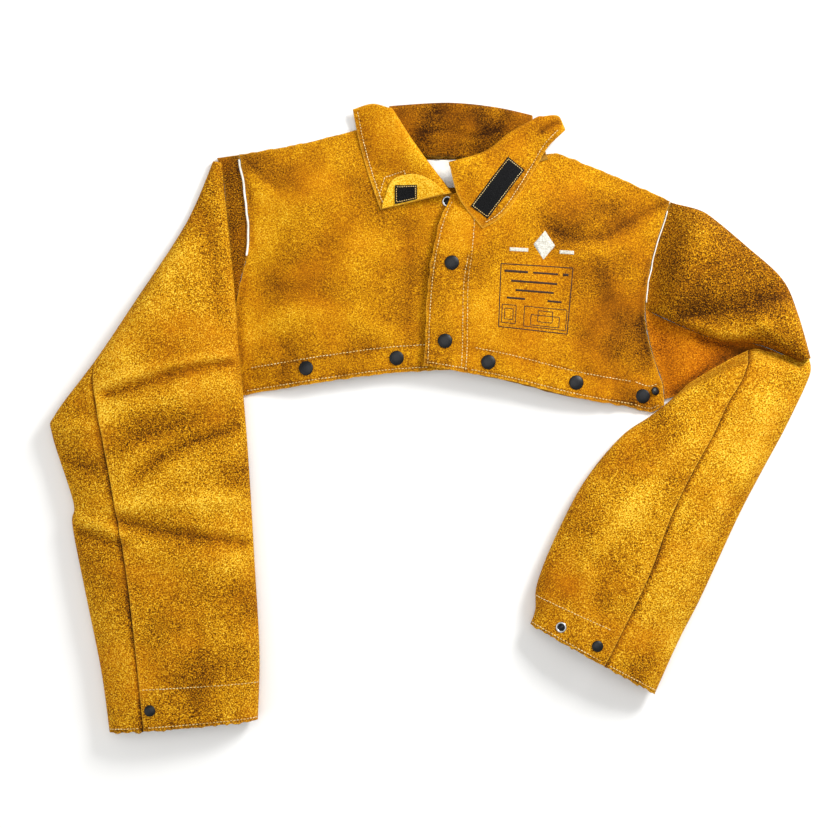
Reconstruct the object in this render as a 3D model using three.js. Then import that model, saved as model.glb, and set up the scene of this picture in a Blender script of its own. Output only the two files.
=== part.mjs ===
// Cropped leather welding jacket (cape sleeves with a collar), lying flat on its back, fastened in front.
// Millimetres. +Z points up, away from the surface that the jacket lies on. +X runs to the wearer's left,
// +Y towards the collar. The origin is on the underside of the back panel, in the middle of the chest.
//
// Every leather panel is a thin closed sheet. The back panel lies on z = 0, the two front panels arch over
// it, and each sleeve is a flattened tube of two panels, cut at the elbow where it folds.
import * as THREE from 'three';

// ---- Driving dimensions ----
const LEATHER = 1.6; // thickness of the split leather
const LABEL_THICK = 0.6; // woven label
const TAPE_THICK = 1.4; // hook and loop tape
const GAP = 0.4; // clearance between pieces that touch
const SEAM_GAP = 0.5; // clearance between two panels that meet edge to edge

const CHEST_RISE = 15; // how far the front arches above its edges
const EDGE_LIFT = LEATHER + GAP; // lowest height of a front panel: it rests on the back panel
const ARCH_RUN = 90; // distance from an edge over which the front rises
const COLLAR_ROLL = 11; // extra height of a collar leaf at its roll line

const BODY_HALF = 246; // from the centre front to either armhole
const CENTRE_TOP_Y = 99; // top of the centre front
const CENTRE_HEM_Y = -102; // hem at the centre front
const SIDE_HEM_DROP = 42; // how much lower the hem is at the side
const PLACKET_WIDTH = 48; // overlap of the wearer's left front over the right one
const HEM_BAND = 32; // depth of the faced hem
const CUFF_BAND = 46; // depth of the faced cuff

const SLEEVE_HEIGHT = 42; // thickness of a sleeve as it lies
const SEAM_ANGLE = 122; // where the forearm seam runs round a sleeve, in degrees from the inner edge
const WRAP_ANGLE = 42; // how far the top panel wraps under the inner edge, in degrees

const CAP_RADIUS = 8.5; // snap cap
const CAP_HEIGHT = 2.6;
const SOCKET_RADIUS = 6.5; // snap socket and stud
const SOCKET_HEIGHT = 1.5;
const LOOP_TAPE = [25, 73]; // width and length
const HOOK_TAPE = [22, 26];
const PIPING_RADIUS = 1.4;

const LEATHER_COLOUR = 0xc8890f;
const LEATHER_INSIDE = 0xa9700f;
const TAPE_COLOUR = 0x0d0e10;
const CAP_COLOUR = 0x15181c;
const METAL_COLOUR = 0xb9bcc0;
const WHITE_COLOUR = 0xe9e7df;

// The stack at the placket, from the right front upwards: stud, socket, facing, left front.
const FACING_LIFT = LEATHER + 2 * SOCKET_HEIGHT + 3 * GAP;
const LEFT_LIFT = FACING_LIFT + LEATHER + GAP;
const FACING_DROP = LEATHER + 2 * GAP; // depth of a hem facing under its panel

// ---- Small helpers ----
const jacket = new THREE.Group();
const degrees = THREE.MathUtils.degToRad;
const smooth = (low, high, value) => THREE.MathUtils.smoothstep(value, low, high);

// An even-paced curve through a few chosen points: returns a function of 0..1.
function through(points) {
  const curve = new THREE.SplineCurve(points.map(([x, y]) => new THREE.Vector2(x, y)));
  curve.arcLengthDivisions = 400;
  return (t) => curve.getPointAt(THREE.MathUtils.clamp(t, 0, 1));
}

// Outlines given by how far each place lies outside the wearer's right or left armhole.
const outsideR = (points) => points.map(([x, y]) => [-BODY_HALF - x, y]);
const outsideL = (points) => points.map(([x, y]) => [BODY_HALF + x, y]);

// The same on the left, with each height measured from the hem at the centre front.
const fromHemL = (points) => outsideL(points.map(([x, y]) => [x, CENTRE_HEM_Y + y]));

// Part of a curve, from t = from to t = to.
const stretch = (curve, from, to) => (t) => curve(from + (to - from) * t);

function addMesh(name, geometry, colour, roughness, metalness = 0) {
  const material = new THREE.MeshStandardMaterial({ color: colour, roughness, metalness });
  const mesh = new THREE.Mesh(geometry, material);
  mesh.name = name;
  jacket.add(mesh);
  return mesh;
}

// A closed sheet between two surfaces that are given on the same grid of (u, v).
function closedSheet(columns, rows, below, above) {
  const positions = [];
  const index = [];
  for (const surface of [below, above]) {
    for (let j = 0; j <= rows; j += 1) {
      for (let i = 0; i <= columns; i += 1) {
        positions.push(...surface(i / columns, j / rows));
      }
    }
  }
  const layer = (columns + 1) * (rows + 1);
  const at = (side, i, j) => side * layer + j * (columns + 1) + i;
  const quad = (a, b, c, d) => index.push(a, b, c, a, c, d);
  for (let j = 0; j < rows; j += 1) {
    for (let i = 0; i < columns; i += 1) {
      quad(at(0, i, j), at(0, i, j + 1), at(0, i + 1, j + 1), at(0, i + 1, j));
      quad(at(1, i, j), at(1, i + 1, j), at(1, i + 1, j + 1), at(1, i, j + 1));
    }
  }
  for (let i = 0; i < columns; i += 1) {
    quad(at(0, i, 0), at(0, i + 1, 0), at(1, i + 1, 0), at(1, i, 0));
    quad(at(0, i + 1, rows), at(0, i, rows), at(1, i, rows), at(1, i + 1, rows));
  }
  for (let j = 0; j < rows; j += 1) {
    quad(at(0, 0, j + 1), at(0, 0, j), at(1, 0, j), at(1, 0, j + 1));
    quad(at(0, columns, j), at(0, columns, j + 1), at(1, columns, j + 1), at(1, columns, j));
  }
  return outwardFacing(positions, index);
}

// Turns every triangle round when the closed mesh would otherwise face inwards.
function outwardFacing(positions, index) {
  const corner = (k) => new THREE.Vector3().fromArray(positions, 3 * k);
  let volume = 0;
  for (let k = 0; k < index.length; k += 3) {
    volume += corner(index[k]).dot(corner(index[k + 1]).cross(corner(index[k + 2])));
  }
  if (volume < 0) index.reverse();
  const geometry = new THREE.BufferGeometry();
  geometry.setAttribute('position', new THREE.Float32BufferAttribute(positions, 3));
  geometry.setIndex(index);
  return geometry;
}

// The plan of a panel with four sides: top and bottom run from left to right, left and right run down.
function fourSided(top, bottom, left, right) {
  const corners = [top(0), top(1), bottom(0), bottom(1)];
  return (u, v) => {
    const across = top(u).multiplyScalar(1 - v).add(bottom(u).multiplyScalar(v));
    const down = left(v).multiplyScalar(1 - u).add(right(v).multiplyScalar(u));
    const weights = [(1 - u) * (1 - v), u * (1 - v), (1 - u) * v, u * v];
    weights.forEach((w, k) => across.addScaledVector(corners[k], -w));
    return across.add(down);
  };
}

// A panel of the given plan whose underside follows a height field.
function layPanel(name, plan, height, columns, rows, thick = LEATHER, colour = LEATHER_COLOUR) {
  const surface = (lift) => (u, v) => {
    const p = plan(u, v);
    return [p.x, p.y, height(p.x, p.y) + lift];
  };
  const geometry = closedSheet(columns, rows, surface(0), surface(thick));
  return addMesh(name, geometry, colour, 0.95);
}

// ---- Outlines of the body ----
const SHOULDER_TIP_R = [-BODY_HALF - 4, 150];
const SHOULDER_TIP_L = [BODY_HALF + 16, 95];
const NECK_R = [-108, 180];
const NECK_L = [126, 152];
const HEM_SIDE_R = [-BODY_HALF + 4, CENTRE_HEM_Y - SIDE_HEM_DROP + 8];
const HEM_SIDE_L = [BODY_HALF + 4, CENTRE_HEM_Y - SIDE_HEM_DROP - 5];
const FOLD_TOP = NECK_L; // the line about which the left front opens
const FOLD_FOOT = [BODY_HALF - 27, CENTRE_HEM_Y - 49];
const PLACKET_EDGE_FOOT = [-31, CENTRE_HEM_Y + 1];

const armholeR = through([SHOULDER_TIP_R, ...outsideR([[-5, 92], [-8, CENTRE_HEM_Y + 143],
  [5, CENTRE_HEM_Y + 78], [1, CENTRE_HEM_Y + 25]]), HEM_SIDE_R]);
const armholeL = through([SHOULDER_TIP_L, ...outsideL([[-5, 28], [-14, -35], [-6, -90]]), HEM_SIDE_L]);
const shoulderR = through([SHOULDER_TIP_R, [-177, 163], NECK_R]);
const centreEdgeR = through([[16, CENTRE_TOP_Y], [17, 0], [18, CENTRE_HEM_Y - 3]]);
const hemR = through([HEM_SIDE_R, [-153, CENTRE_HEM_Y - 19], [-70, CENTRE_HEM_Y - 8],
  [18, CENTRE_HEM_Y - 3]]);
const placketEdge = through([[1, CENTRE_TOP_Y + 1], [-15, 59], [-26, -6], PLACKET_EDGE_FOOT]);
const hemFlap = through([PLACKET_EDGE_FOOT, [60, CENTRE_HEM_Y - 15], [150, CENTRE_HEM_Y - 37],
  FOLD_FOOT]);
const hemBack = through([HEM_SIDE_L, [150, CENTRE_HEM_Y - 37], [60, CENTRE_HEM_Y - 15], [-30, CENTRE_HEM_Y - 2],
  [-153, CENTRE_HEM_Y - 18], HEM_SIDE_R]);
const foldLine = through([FOLD_TOP, FOLD_FOOT]);

// ---- Height of the body's upper side ----
function shoulderY(x) {
  const right = SHOULDER_TIP_R[1] + 0.22 * (x - SHOULDER_TIP_R[0]);
  const left = NECK_L[1] - 0.41 * (x - NECK_L[0]);
  return THREE.MathUtils.lerp(right, left, smooth(-40, 60, x));
}

function chest(x, y) {
  const fromRight = smooth(0, ARCH_RUN, x + BODY_HALF);
  const fromLeft = smooth(0, ARCH_RUN, BODY_HALF - x);
  const fromShoulder = smooth(-8, ARCH_RUN, shoulderY(x) - y);
  return EDGE_LIFT + CHEST_RISE * Math.min(fromRight, fromLeft) * fromShoulder;
}

// The wearer's left front lies above the right one at the placket and sinks to the back further out.
const leftFront = (x, y) => chest(x, y) + LEFT_LIFT * (1 - smooth(PLACKET_WIDTH, 190, x));

// ---- Body panels ----
function makeBackPanel() {
  const outline = new THREE.Shape();
  const sides = [
    [through([NECK_R, [-70, 158], [0, 150], [70, 148], NECK_L]), 8],
    [through([NECK_L, [190, 127], SHOULDER_TIP_L]), 3],
    [armholeL, 7],
    [hemBack, 9],
    [(t) => armholeR(1 - t), 7],
    [shoulderR, 3],
  ];
  const points = sides.flatMap(([side, steps]) => Array.from({ length: steps }, (_, k) => side(k / steps)));
  outline.setFromPoints(points);
  const geometry = new THREE.ExtrudeGeometry(outline, { depth: LEATHER, bevelEnabled: false });
  addMesh('back_panel', geometry, LEATHER_INSIDE, 0.95);
}

function makeFrontPanels() {
  const neckR = through([NECK_R, [-62, 138], [-25, 112], [16, CENTRE_TOP_Y]]);
  const topR = (t) => (t < 0.5 ? shoulderR(2 * t) : neckR(2 * t - 1));
  const right = fourSided(topR, hemR, armholeR, centreEdgeR);
  layPanel('right_front_panel', right, chest, 14, 10);

  const neckL = through([[1, CENTRE_TOP_Y + 1], [35, 112], [78, 135], FOLD_TOP]);
  const flap = fourSided(neckL, hemFlap, placketEdge, foldLine);
  layPanel('left_front_panel', flap, leftFront, 12, 10);

  const aside = ([x, y]) => [x + SEAM_GAP, y];
  const sideTop = through([aside(FOLD_TOP), [190, 127], SHOULDER_TIP_L]);
  const sideHem = through([aside(FOLD_FOOT), HEM_SIDE_L]);
  const sideFold = through([aside(FOLD_TOP), aside(FOLD_FOOT)]);
  const side = fourSided(sideTop, sideHem, sideFold, armholeL);
  layPanel('left_side_panel', side, leftFront, 6, 10);
}

// A band along a curve: its upper edge is the curve moved up by depth.
function band(curve, from, to, depth, inset = 1.5) {
  return (u, v) => curve(from + (to - from) * u).add(new THREE.Vector2(0, inset + depth * (1 - v)));
}

function makeFacings() {
  const under = (height) => (x, y) => height(x, y) - FACING_DROP;
  const inner = LEATHER_INSIDE;
  layPanel('right_hem_facing', band(hemR, 0.2, 0.99, HEM_BAND), under(chest), 12, 2, LEATHER, inner);
  const bandL = band(hemFlap, 0.22, 0.78, HEM_BAND);
  layPanel('left_hem_facing', bandL, under(leftFront), 9, 2, LEATHER, inner);
  const inside = through([[BODY_HALF - 40, CENTRE_HEM_Y - 41], [60, CENTRE_HEM_Y - 14], [-31, CENTRE_HEM_Y],
    [-153, CENTRE_HEM_Y - 16], [-BODY_HALF + 40, CENTRE_HEM_Y - 25]]);
  layPanel('back_hem_facing', band(inside, 0, 1, HEM_BAND), () => EDGE_LIFT, 12, 1, LEATHER, inner);

  const width = new THREE.Vector2(PLACKET_WIDTH - 3, 0);
  const edge = (t) => stretch(placketEdge, 0.03, 0.985)(t).add(new THREE.Vector2(1, 0));
  const facing = (u, v) => edge(v).addScaledVector(width, u);
  layPanel('placket_facing', facing, (x, y) => chest(x, y) + FACING_LIFT, 3, 10, LEATHER, inner);
}

function makeNeckLabel() {
  const label = (u, v) => new THREE.Vector2(-42 + 76 * u, 144 - 33 * v);
  layPanel('neck_label', label, () => EDGE_LIFT, 1, 1, LABEL_THICK, WHITE_COLOUR);
}

// ---- Collar ----
const rollR = through([[-72, 204], [-50, 168], [-28, 136], [-1, 101]]);
const freeR = through([[-115, 203], [-107, 163], [-95, 120], [-82, 83]]);
const rollL = through([[-1, 134], [42, 147], [72, 170], [104, 191]]);
const freeL = through([[38, 60], [66, 79], [100, 134], [124, 186]]);

const rightLeafBase = (x, y) => chest(x, y) + LEATHER + GAP;
const leftLeafBase = (x, y) => leftFront(x, y) + LEATHER + GAP;

// Distance of a point from the straight line between a roll line's two ends.
function fromLine(roll, x, y) {
  const start = roll(0);
  const along = roll(1).sub(start).normalize();
  return Math.abs((x - start.x) * along.y - (y - start.y) * along.x);
}

const LEAF_WIDTH = 66;
const leafLift = (roll, x, y) => COLLAR_ROLL * (1 - smooth(0, LEAF_WIDTH, fromLine(roll, x, y)));
const rightLeaf = (x, y) => rightLeafBase(x, y) + leafLift(rollR, x, y);
const leftLeaf = (x, y) => leftLeafBase(x, y) + leafLift(rollL, x, y);

function makeCollar() {
  const stand = fourSided(
    through([[-70, 201], [-4, 205], [52, 200], [96, 189]]),
    through([[-40, 149], [-4, 146], [34, 145], [72, 152]]),
    through([[-70, 201], [-40, 149]]),
    through([[96, 189], [72, 152]]),
  );
  layPanel('collar_stand', stand, (x, y) => EDGE_LIFT + 6 * smooth(148, 190, y), 8, 4);
  const fall = fourSided(
    through([[-72, 203], [-4, 206], [52, 201], [98, 190]]),
    through([[-76, 162], [-30, 154], [34, 151.5], [96, 151.8]]),
    through([[-72, 203], [-76, 162]]),
    through([[98, 190], [96, 151.8]]),
  );
  layPanel('collar_fall', fall, () => 0, 8, 1);

  const backEndR = through([[-115, 203], [-92, 209], [-72, 204]]);
  const frontEndR = through([[-82, 83], [-1, 101]]);
  const planR = fourSided(backEndR, frontEndR, freeR, rollR);
  layPanel('right_collar_leaf', planR, rightLeaf, 6, 8);

  const frontEndL = through([[-1, 134], [10, 96], [38, 60]]);
  const backEndL = through([[104, 191], [116, 191], [124, 186]]);
  const planL = fourSided(frontEndL, backEndL, rollL, freeL);
  layPanel('left_collar_leaf', planL, leftLeaf, 6, 8);
}

const TAB_FOLD = [[-80, 84.1], [-6, 100.6]]; // the line about which the throat tab folds
function makeThroatTab() {
  const tab = fourSided(
    through([[-79, 92], [-66, 119], [-37, 123], [-14, 110], [-7, 102.5]]),
    through(TAB_FOLD),
    through([[-79, 92], TAB_FOLD[0]]),
    through([[-7, 102.5], TAB_FOLD[1]]),
  );
  const height = (x, y) => rightLeaf(x, y) + LEATHER + GAP;
  layPanel('throat_tab', tab, height, 8, 4);
  const patch = (u, v) => new THREE.Vector2(-65 + HOOK_TAPE[1] * u, 111 - HOOK_TAPE[0] * (1 - 0.25 * u) * v);
  layPanel('hook_patch', patch, (x, y) => height(x, y) + LEATHER + GAP, 3, 2, TAPE_THICK, TAPE_COLOUR);
}

function makeLoopStrip() {
  const centre = new THREE.Vector2(56, 108);
  const turn = degrees(53);
  const strip = (u, v) => new THREE.Vector2((u - 0.5) * LOOP_TAPE[1], (v - 0.5) * LOOP_TAPE[0])
    .rotateAround(new THREE.Vector2(), turn).add(centre);
  layPanel('loop_strip', strip, (x, y) => leftLeaf(x, y) + LEATHER + GAP, 6, 2, TAPE_THICK, TAPE_COLOUR);
}

// ---- Sleeves ----
// A sleeve's section at one station. Its angle runs from 0 at the inner edge over the top (90) to 180 at the
// outer edge and back along the flat underside. Returns the place across (0 inner, 1 outer) and the height.
function sectionPoint(angle, height) {
  const waist = 0.4 * height;
  const across = 0.5 - 0.5 * Math.cos(angle);
  const sine = Math.sin(angle);
  const z = sine > 0 ? waist + (height - waist) * sine ** 0.9 : waist * (1 - Math.min(1, -sine / 0.62)) ** 1.4;
  return [across, z];
}

// The place near the inner edge where a sleeve's underside has come down to the given height.
function undersideEdge(sleeve, station, z) {
  const waist = 0.4 * sleeve.height(station);
  const sine = 0.62 * (1 - Math.min(1, z / waist) ** (1 / 1.4));
  const inner = sleeve.inner(station);
  const outward = sleeve.outer(station).sub(inner);
  const across = 0.5 - 0.5 * Math.sqrt(1 - sine * sine);
  return inner.addScaledVector(outward, across - GAP / outward.length());
}

// One panel of a sleeve between two angles, over a share of its length.
function sleevePanel(name, sleeve, angles, shares, steps, inset = 0, colour = LEATHER_COLOUR) {
  const surface = (depth) => (u, v) => {
    const station = THREE.MathUtils.lerp(shares[0], shares[1], v);
    const angle = degrees(THREE.MathUtils.lerp(angles[0], angles[1], u));
    const inner = sleeve.inner(station);
    const outer = sleeve.outer(station);
    const width = inner.distanceTo(outer);
    const height = sleeve.height(station);
    const [across, z] = sectionPoint(angle, height);
    const [nextAcross, nextZ] = sectionPoint(angle + 0.01, height);
    const tangent = new THREE.Vector2((nextAcross - across) * width, nextZ - z).normalize();
    const side = across * width + depth * tangent.y;
    const place = inner.clone().lerp(outer, side / width);
    return [place.x, place.y, Math.max(z - depth * tangent.x, depth)];
  };
  const geometry = closedSheet(steps[0], steps[1], surface(inset + LEATHER), surface(inset));
  return addMesh(name, geometry, colour, 0.95);
}

const TOP_ANGLES = [-WRAP_ANGLE, SEAM_ANGLE];
const UNDER_ANGLES = [SEAM_ANGLE + 0.6, 360 - WRAP_ANGLE - 0.6];
const CUFF_INSET = LEATHER + 1.5 * GAP; // depth of a cuff facing under its sleeve
const FACING_ANGLES = [38, SEAM_ANGLE - 6];

const rightSleeve = {
  outer: through(outsideR([[44, 128], [67, 68], [126, -24], [171, -92], [220, -158], [224, -182], [199, -262],
    [200, -290], [184, -372], [166, -461], [156, -534]])),
  inner: through(outsideR([[34, 121], [22, 62], [12, -12], [5, -77], [-3, -148], [-9, -228], [-15, -330],
    [-21, -440], [-19, -519]])),
  height: (s) => 12 + (SLEEVE_HEIGHT - 12) * smooth(0, 0.4, s),
};
const RIGHT_ELBOW = 0.61;

const leftUpper = {
  outer: through(outsideL([[24, 93], [56, 80], [106, 39], [147, 1], [165, -40], [178, CENTRE_HEM_Y + 16]])),
  inner: through(outsideL([[-7, -36], [24, -52], [74, -71], [120, CENTRE_HEM_Y + 26], [166, CENTRE_HEM_Y + 10]])),
  height: () => SLEEVE_HEIGHT - 4,
};
const leftFore = {
  outer: through(fromHemL([[180, 8], [179, -12], [153, -67], [120, -128], [93, -180], [51, -271], [24, -324],
    [-4, -386]])),
  inner: through(fromHemL([[16, -39], [-10, -59], [-44, -83], [-86, -134], [-120, -198], [-143, -256],
    [-145, -286], [-151, -304]])),
  height: () => SLEEVE_HEIGHT,
};

function makeRightSleeve() {
  const cut = SEAM_GAP / 1400; // half the gap at the elbow, as a share of the sleeve's length
  const length = 670;
  const upper = [0, RIGHT_ELBOW - cut];
  const lower = [RIGHT_ELBOW + cut, 1];
  sleevePanel('right_upper_sleeve_top', rightSleeve, TOP_ANGLES, upper, [9, 10]);
  sleevePanel('right_upper_sleeve_under', rightSleeve, UNDER_ANGLES, upper, [9, 10]);
  sleevePanel('right_forearm_top', rightSleeve, TOP_ANGLES, lower, [9, 8]);
  sleevePanel('right_forearm_under', rightSleeve, UNDER_ANGLES, lower, [9, 8]);
  const cuff = [1 - CUFF_BAND / length, 0.998];
  sleevePanel('right_cuff_facing', rightSleeve, FACING_ANGLES, cuff, [7, 2], CUFF_INSET, LEATHER_INSIDE);
}

function makeLeftSleeve() {
  const length = 420;
  sleevePanel('left_upper_sleeve_top', leftUpper, [-WRAP_ANGLE, 180], [0, 1], [10, 9]);
  sleevePanel('left_upper_sleeve_under', leftUpper, [181, 359 - WRAP_ANGLE], [0, 1], [7, 9]);
  sleevePanel('left_forearm_top', leftFore, TOP_ANGLES, [0, 1], [9, 10]);
  sleevePanel('left_forearm_under', leftFore, UNDER_ANGLES, [0, 1], [9, 10]);
  const cuff = [1 - CUFF_BAND / length, 0.998];
  sleevePanel('left_cuff_facing', leftFore, FACING_ANGLES, cuff, [7, 2], CUFF_INSET, LEATHER_INSIDE);
}

function makeSleeveHeads() {
  const beside = (curve, x, y) => (t) => curve(t).add(new THREE.Vector2(x, y));
  const armhole = beside(stretch(armholeR, 0.06, 0.8), -2 * PIPING_RADIUS - 2.4 * SEAM_GAP, 0);
  const headTop = 2 * LEATHER;
  const sleeveEdge = (t) => undersideEdge(rightSleeve, 0.38 * t, headTop + GAP);
  const head = (u, v) => sleeveEdge(v).lerp(armhole(v), u);
  layPanel('right_sleeve_head', head, () => headTop - LEATHER, 2, 8);

  const lip = beside(stretch(leftUpper.inner, 0.02, 0.98), 0, -1.2);
  const elbow = (t) => leftFore.inner(0).lerp(leftFore.outer(0), 0.985 * t).add(new THREE.Vector2(-0.6, 0.75));
  const side = (t) => stretch(armholeL, 0.53, 0.97)(t).add(new THREE.Vector2(1.5 * SEAM_GAP, 0));
  const front = (t) => lip(1).lerp(elbow(1), t);
  const top = (t) => lip(t).add(side(0).sub(lip(0)).multiplyScalar(1 - t));
  const bottom = (t) => elbow(t).add(side(1).sub(elbow(0)).multiplyScalar((1 - t) ** 3));
  const rise = (x) => EDGE_LIFT + 0.15 * SLEEVE_HEIGHT * smooth(0, 50, x - BODY_HALF);
  layPanel('left_underarm_gusset', fourSided(top, bottom, side, front), rise, 7, 5);
}

// ---- Piping ----
function tubeAlong(curve, height, steps) {
  const points = Array.from({ length: steps + 1 }, (_, k) => {
    const p = curve(k / steps);
    return new THREE.Vector3(p.x, p.y, height);
  });
  const section = new THREE.Shape().absarc(0, 0, PIPING_RADIUS, 0, 2 * Math.PI);
  const extrudePath = new THREE.CatmullRomCurve3(points);
  return new THREE.ExtrudeGeometry(section, { steps, extrudePath, curveSegments: 4, bevelEnabled: false });
}

function makePiping() {
  const beside = (curve, from, to, x) => (t) => stretch(curve, from, to)(t).add(new THREE.Vector2(x, 0));
  const offset = PIPING_RADIUS + 1.5 * SEAM_GAP;
  const height = LEATHER + GAP + PIPING_RADIUS;
  const right = beside(armholeR, 0.02, 0.42, -offset);
  addMesh('right_armhole_piping', tubeAlong(right, height, 12), WHITE_COLOUR, 0.6);
  const left = beside(armholeL, 0.05, 0.5, offset);
  addMesh('left_armhole_piping', tubeAlong(left, height, 12), WHITE_COLOUR, 0.6);
}

// ---- Snap fasteners ----
const SNAP_SIDES = 14;

function capGeometry(radius = CAP_RADIUS) {
  const profile = [[0, 0], [radius * 0.9, 0], [radius, 0.35 * CAP_HEIGHT], [radius * 0.72, 0.9 * CAP_HEIGHT],
    [0, CAP_HEIGHT]];
  return lathe(profile);
}

function socketGeometry() {
  const profile = [[0, 0], [SOCKET_RADIUS, 0], [SOCKET_RADIUS * 0.9, SOCKET_HEIGHT], [0, SOCKET_HEIGHT]];
  return lathe(profile);
}

function lathe(profile) {
  const geometry = new THREE.LatheGeometry(profile.map(([r, h]) => new THREE.Vector2(r, h)), SNAP_SIDES);
  return geometry.rotateX(Math.PI / 2);
}

// The height of the plane that just clears a sheet under a round piece, and the sheet's slope there.
function seat(x, y, height, radius) {
  const step = 2;
  const slopeX = (height(x + step, y) - height(x - step, y)) / (2 * step);
  const slopeY = (height(x, y + step) - height(x, y - step)) / (2 * step);
  let rise = 0;
  let fall = 0;
  for (let k = 0; k < SNAP_SIDES; k += 1) {
    const angle = (2 * Math.PI * k) / SNAP_SIDES;
    const dx = radius * Math.cos(angle);
    const dy = radius * Math.sin(angle);
    const off = height(x + dx, y + dy) - (height(x, y) + slopeX * dx + slopeY * dy);
    rise = Math.max(rise, off);
    fall = Math.min(fall, off);
  }
  const normal = new THREE.Vector3(-slopeX, -slopeY, 1).normalize();
  return { normal, rise, fall };
}

// A round piece on the upper face (side = 1) or the lower face (side = -1) of a sheet.
function addSnapPiece(name, geometry, x, y, height, side, radius, colour, metalness) {
  const face = side > 0 ? (a, b) => height(a, b) + LEATHER : height;
  const { normal, rise, fall } = seat(x, y, face, radius);
  const clear = side > 0 ? rise + GAP : fall - GAP;
  const mesh = addMesh(name, geometry, colour, 0.45, metalness);
  mesh.position.set(x, y, face(x, y) + clear);
  mesh.quaternion.setFromUnitVectors(new THREE.Vector3(0, 0, 1), normal.multiplyScalar(side));
}

const addCap = (name, x, y, height) => addSnapPiece(name, capGeometry(), x, y, height, 1, CAP_RADIUS,
  CAP_COLOUR, 0.3);
const addSocket = (name, x, y, height, side) => addSnapPiece(name, socketGeometry(), x, y, height, side,
  SOCKET_RADIUS, METAL_COLOUR, 0.9);

function makeSnaps() {
  const lowered = (height) => (x, y) => height(x, y) - FACING_DROP;
  const placketFacing = (x, y) => chest(x, y) + FACING_LIFT;
  [['upper', 2, 20], ['lower', -6, CENTRE_HEM_Y + 30]].forEach(([place, x, y]) => {
    addCap(`placket_${place}_cap`, x, y, leftFront);
    addSocket(`placket_${place}_socket`, x, y, placketFacing, -1);
    addSocket(`placket_${place}_stud`, x, y, chest, 1);
  });
  addSocket('placket_top_stud', -3, 93, chest, 1);
  [['outer', -170, CENTRE_HEM_Y - 2], ['inner', -63, CENTRE_HEM_Y + 10]].forEach(([place, x, y]) => {
    addCap(`right_hem_${place}_cap`, x, y, chest);
    addSocket(`right_hem_${place}_socket`, x, y, lowered(chest), -1);
  });
  [['inner', 45, CENTRE_HEM_Y + 5], ['middle', 149, CENTRE_HEM_Y - 19]].forEach(([place, x, y]) => {
    addCap(`left_hem_${place}_cap`, x, y, leftFront);
    addSocket(`left_hem_${place}_socket`, x, y, lowered(leftFront), -1);
  });
  addCap('left_hem_side_cap', BODY_HALF - 17, CENTRE_HEM_Y - 35, leftFront);
}

// A snap piece on a sleeve's cuff, at a place across it from its inner edge (0) to its outer edge (1).
function addCuffSnap(name, geometry, sleeve, station, across, colour, metalness, lift = 1.5 * GAP) {
  const place = sleeve.inner(station).lerp(sleeve.outer(station), across);
  const top = sectionPoint(Math.acos(1 - 2 * across), sleeve.height(station))[1];
  const width = sleeve.inner(station).distanceTo(sleeve.outer(station));
  const step = 0.02;
  const near = sectionPoint(Math.acos(1 - 2 * (across + step)), sleeve.height(station))[1];
  const outward = sleeve.outer(station).sub(sleeve.inner(station)).normalize();
  const slope = (near - top) / (step * width);
  const normal = new THREE.Vector3(-slope * outward.x, -slope * outward.y, 1).normalize();
  const mesh = addMesh(name, geometry, colour, 0.45, metalness);
  mesh.position.set(place.x, place.y, top).addScaledVector(normal, lift);
  mesh.quaternion.setFromUnitVectors(new THREE.Vector3(0, 0, 1), normal.multiplyScalar(Math.sign(lift)));
}

function makeCuffSnaps() {
  const smallCap = capGeometry(0.8 * CAP_RADIUS);
  const inside = -(LEATHER + CUFF_INSET + 1.5 * GAP);
  const cuffs = [['right', rightSleeve, 0.966, 0.7], ['left', leftFore, 0.955, 0.48]];
  cuffs.forEach(([side, sleeve, station, across]) => {
    addCuffSnap(`${side}_cuff_cap`, smallCap.clone(), sleeve, station, across, CAP_COLOUR, 0.3);
    addCuffSnap(`${side}_cuff_socket`, socketGeometry(), sleeve, station, across, METAL_COLOUR, 0.9, inside);
  });
  addCuffSnap('left_cuff_stud', socketGeometry(), leftFore, 0.955, 0.2, METAL_COLOUR, 0.9, 2.5 * GAP);
}

makeBackPanel();
makeFrontPanels();
makeFacings();
makeNeckLabel();
makeCollar();
makeThroatTab();
makeLoopStrip();
makeRightSleeve();
makeLeftSleeve();
makeSleeveHeads();
makePiping();
makeSnaps();
makeCuffSnaps();

export default jacket;
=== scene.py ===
"""Cropped leather welding jacket, lying flat on its back and fastened in front.

The looks are built round the CAD frame. Shapes are worked out in millimetres, on the same outlines and heights
as the CAD model, and are turned into metres when a mesh is made. Right and left are the wearer's: right is
towards -X.
"""
import math

import bpy
import numpy as np
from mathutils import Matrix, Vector


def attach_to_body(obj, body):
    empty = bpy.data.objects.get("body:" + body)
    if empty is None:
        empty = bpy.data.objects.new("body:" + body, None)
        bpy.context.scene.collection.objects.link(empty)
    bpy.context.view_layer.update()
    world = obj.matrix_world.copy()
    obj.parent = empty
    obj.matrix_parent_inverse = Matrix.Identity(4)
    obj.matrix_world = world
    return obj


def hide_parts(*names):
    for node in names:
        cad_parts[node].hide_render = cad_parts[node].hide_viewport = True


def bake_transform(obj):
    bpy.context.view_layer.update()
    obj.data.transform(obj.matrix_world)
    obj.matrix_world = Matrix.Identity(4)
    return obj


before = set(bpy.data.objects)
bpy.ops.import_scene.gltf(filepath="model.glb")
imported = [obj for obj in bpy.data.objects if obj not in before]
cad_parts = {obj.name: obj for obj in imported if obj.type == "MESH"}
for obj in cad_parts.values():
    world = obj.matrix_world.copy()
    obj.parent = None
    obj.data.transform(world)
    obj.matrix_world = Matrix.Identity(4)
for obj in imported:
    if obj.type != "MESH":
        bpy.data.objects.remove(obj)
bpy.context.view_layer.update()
MM = 0.001

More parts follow.
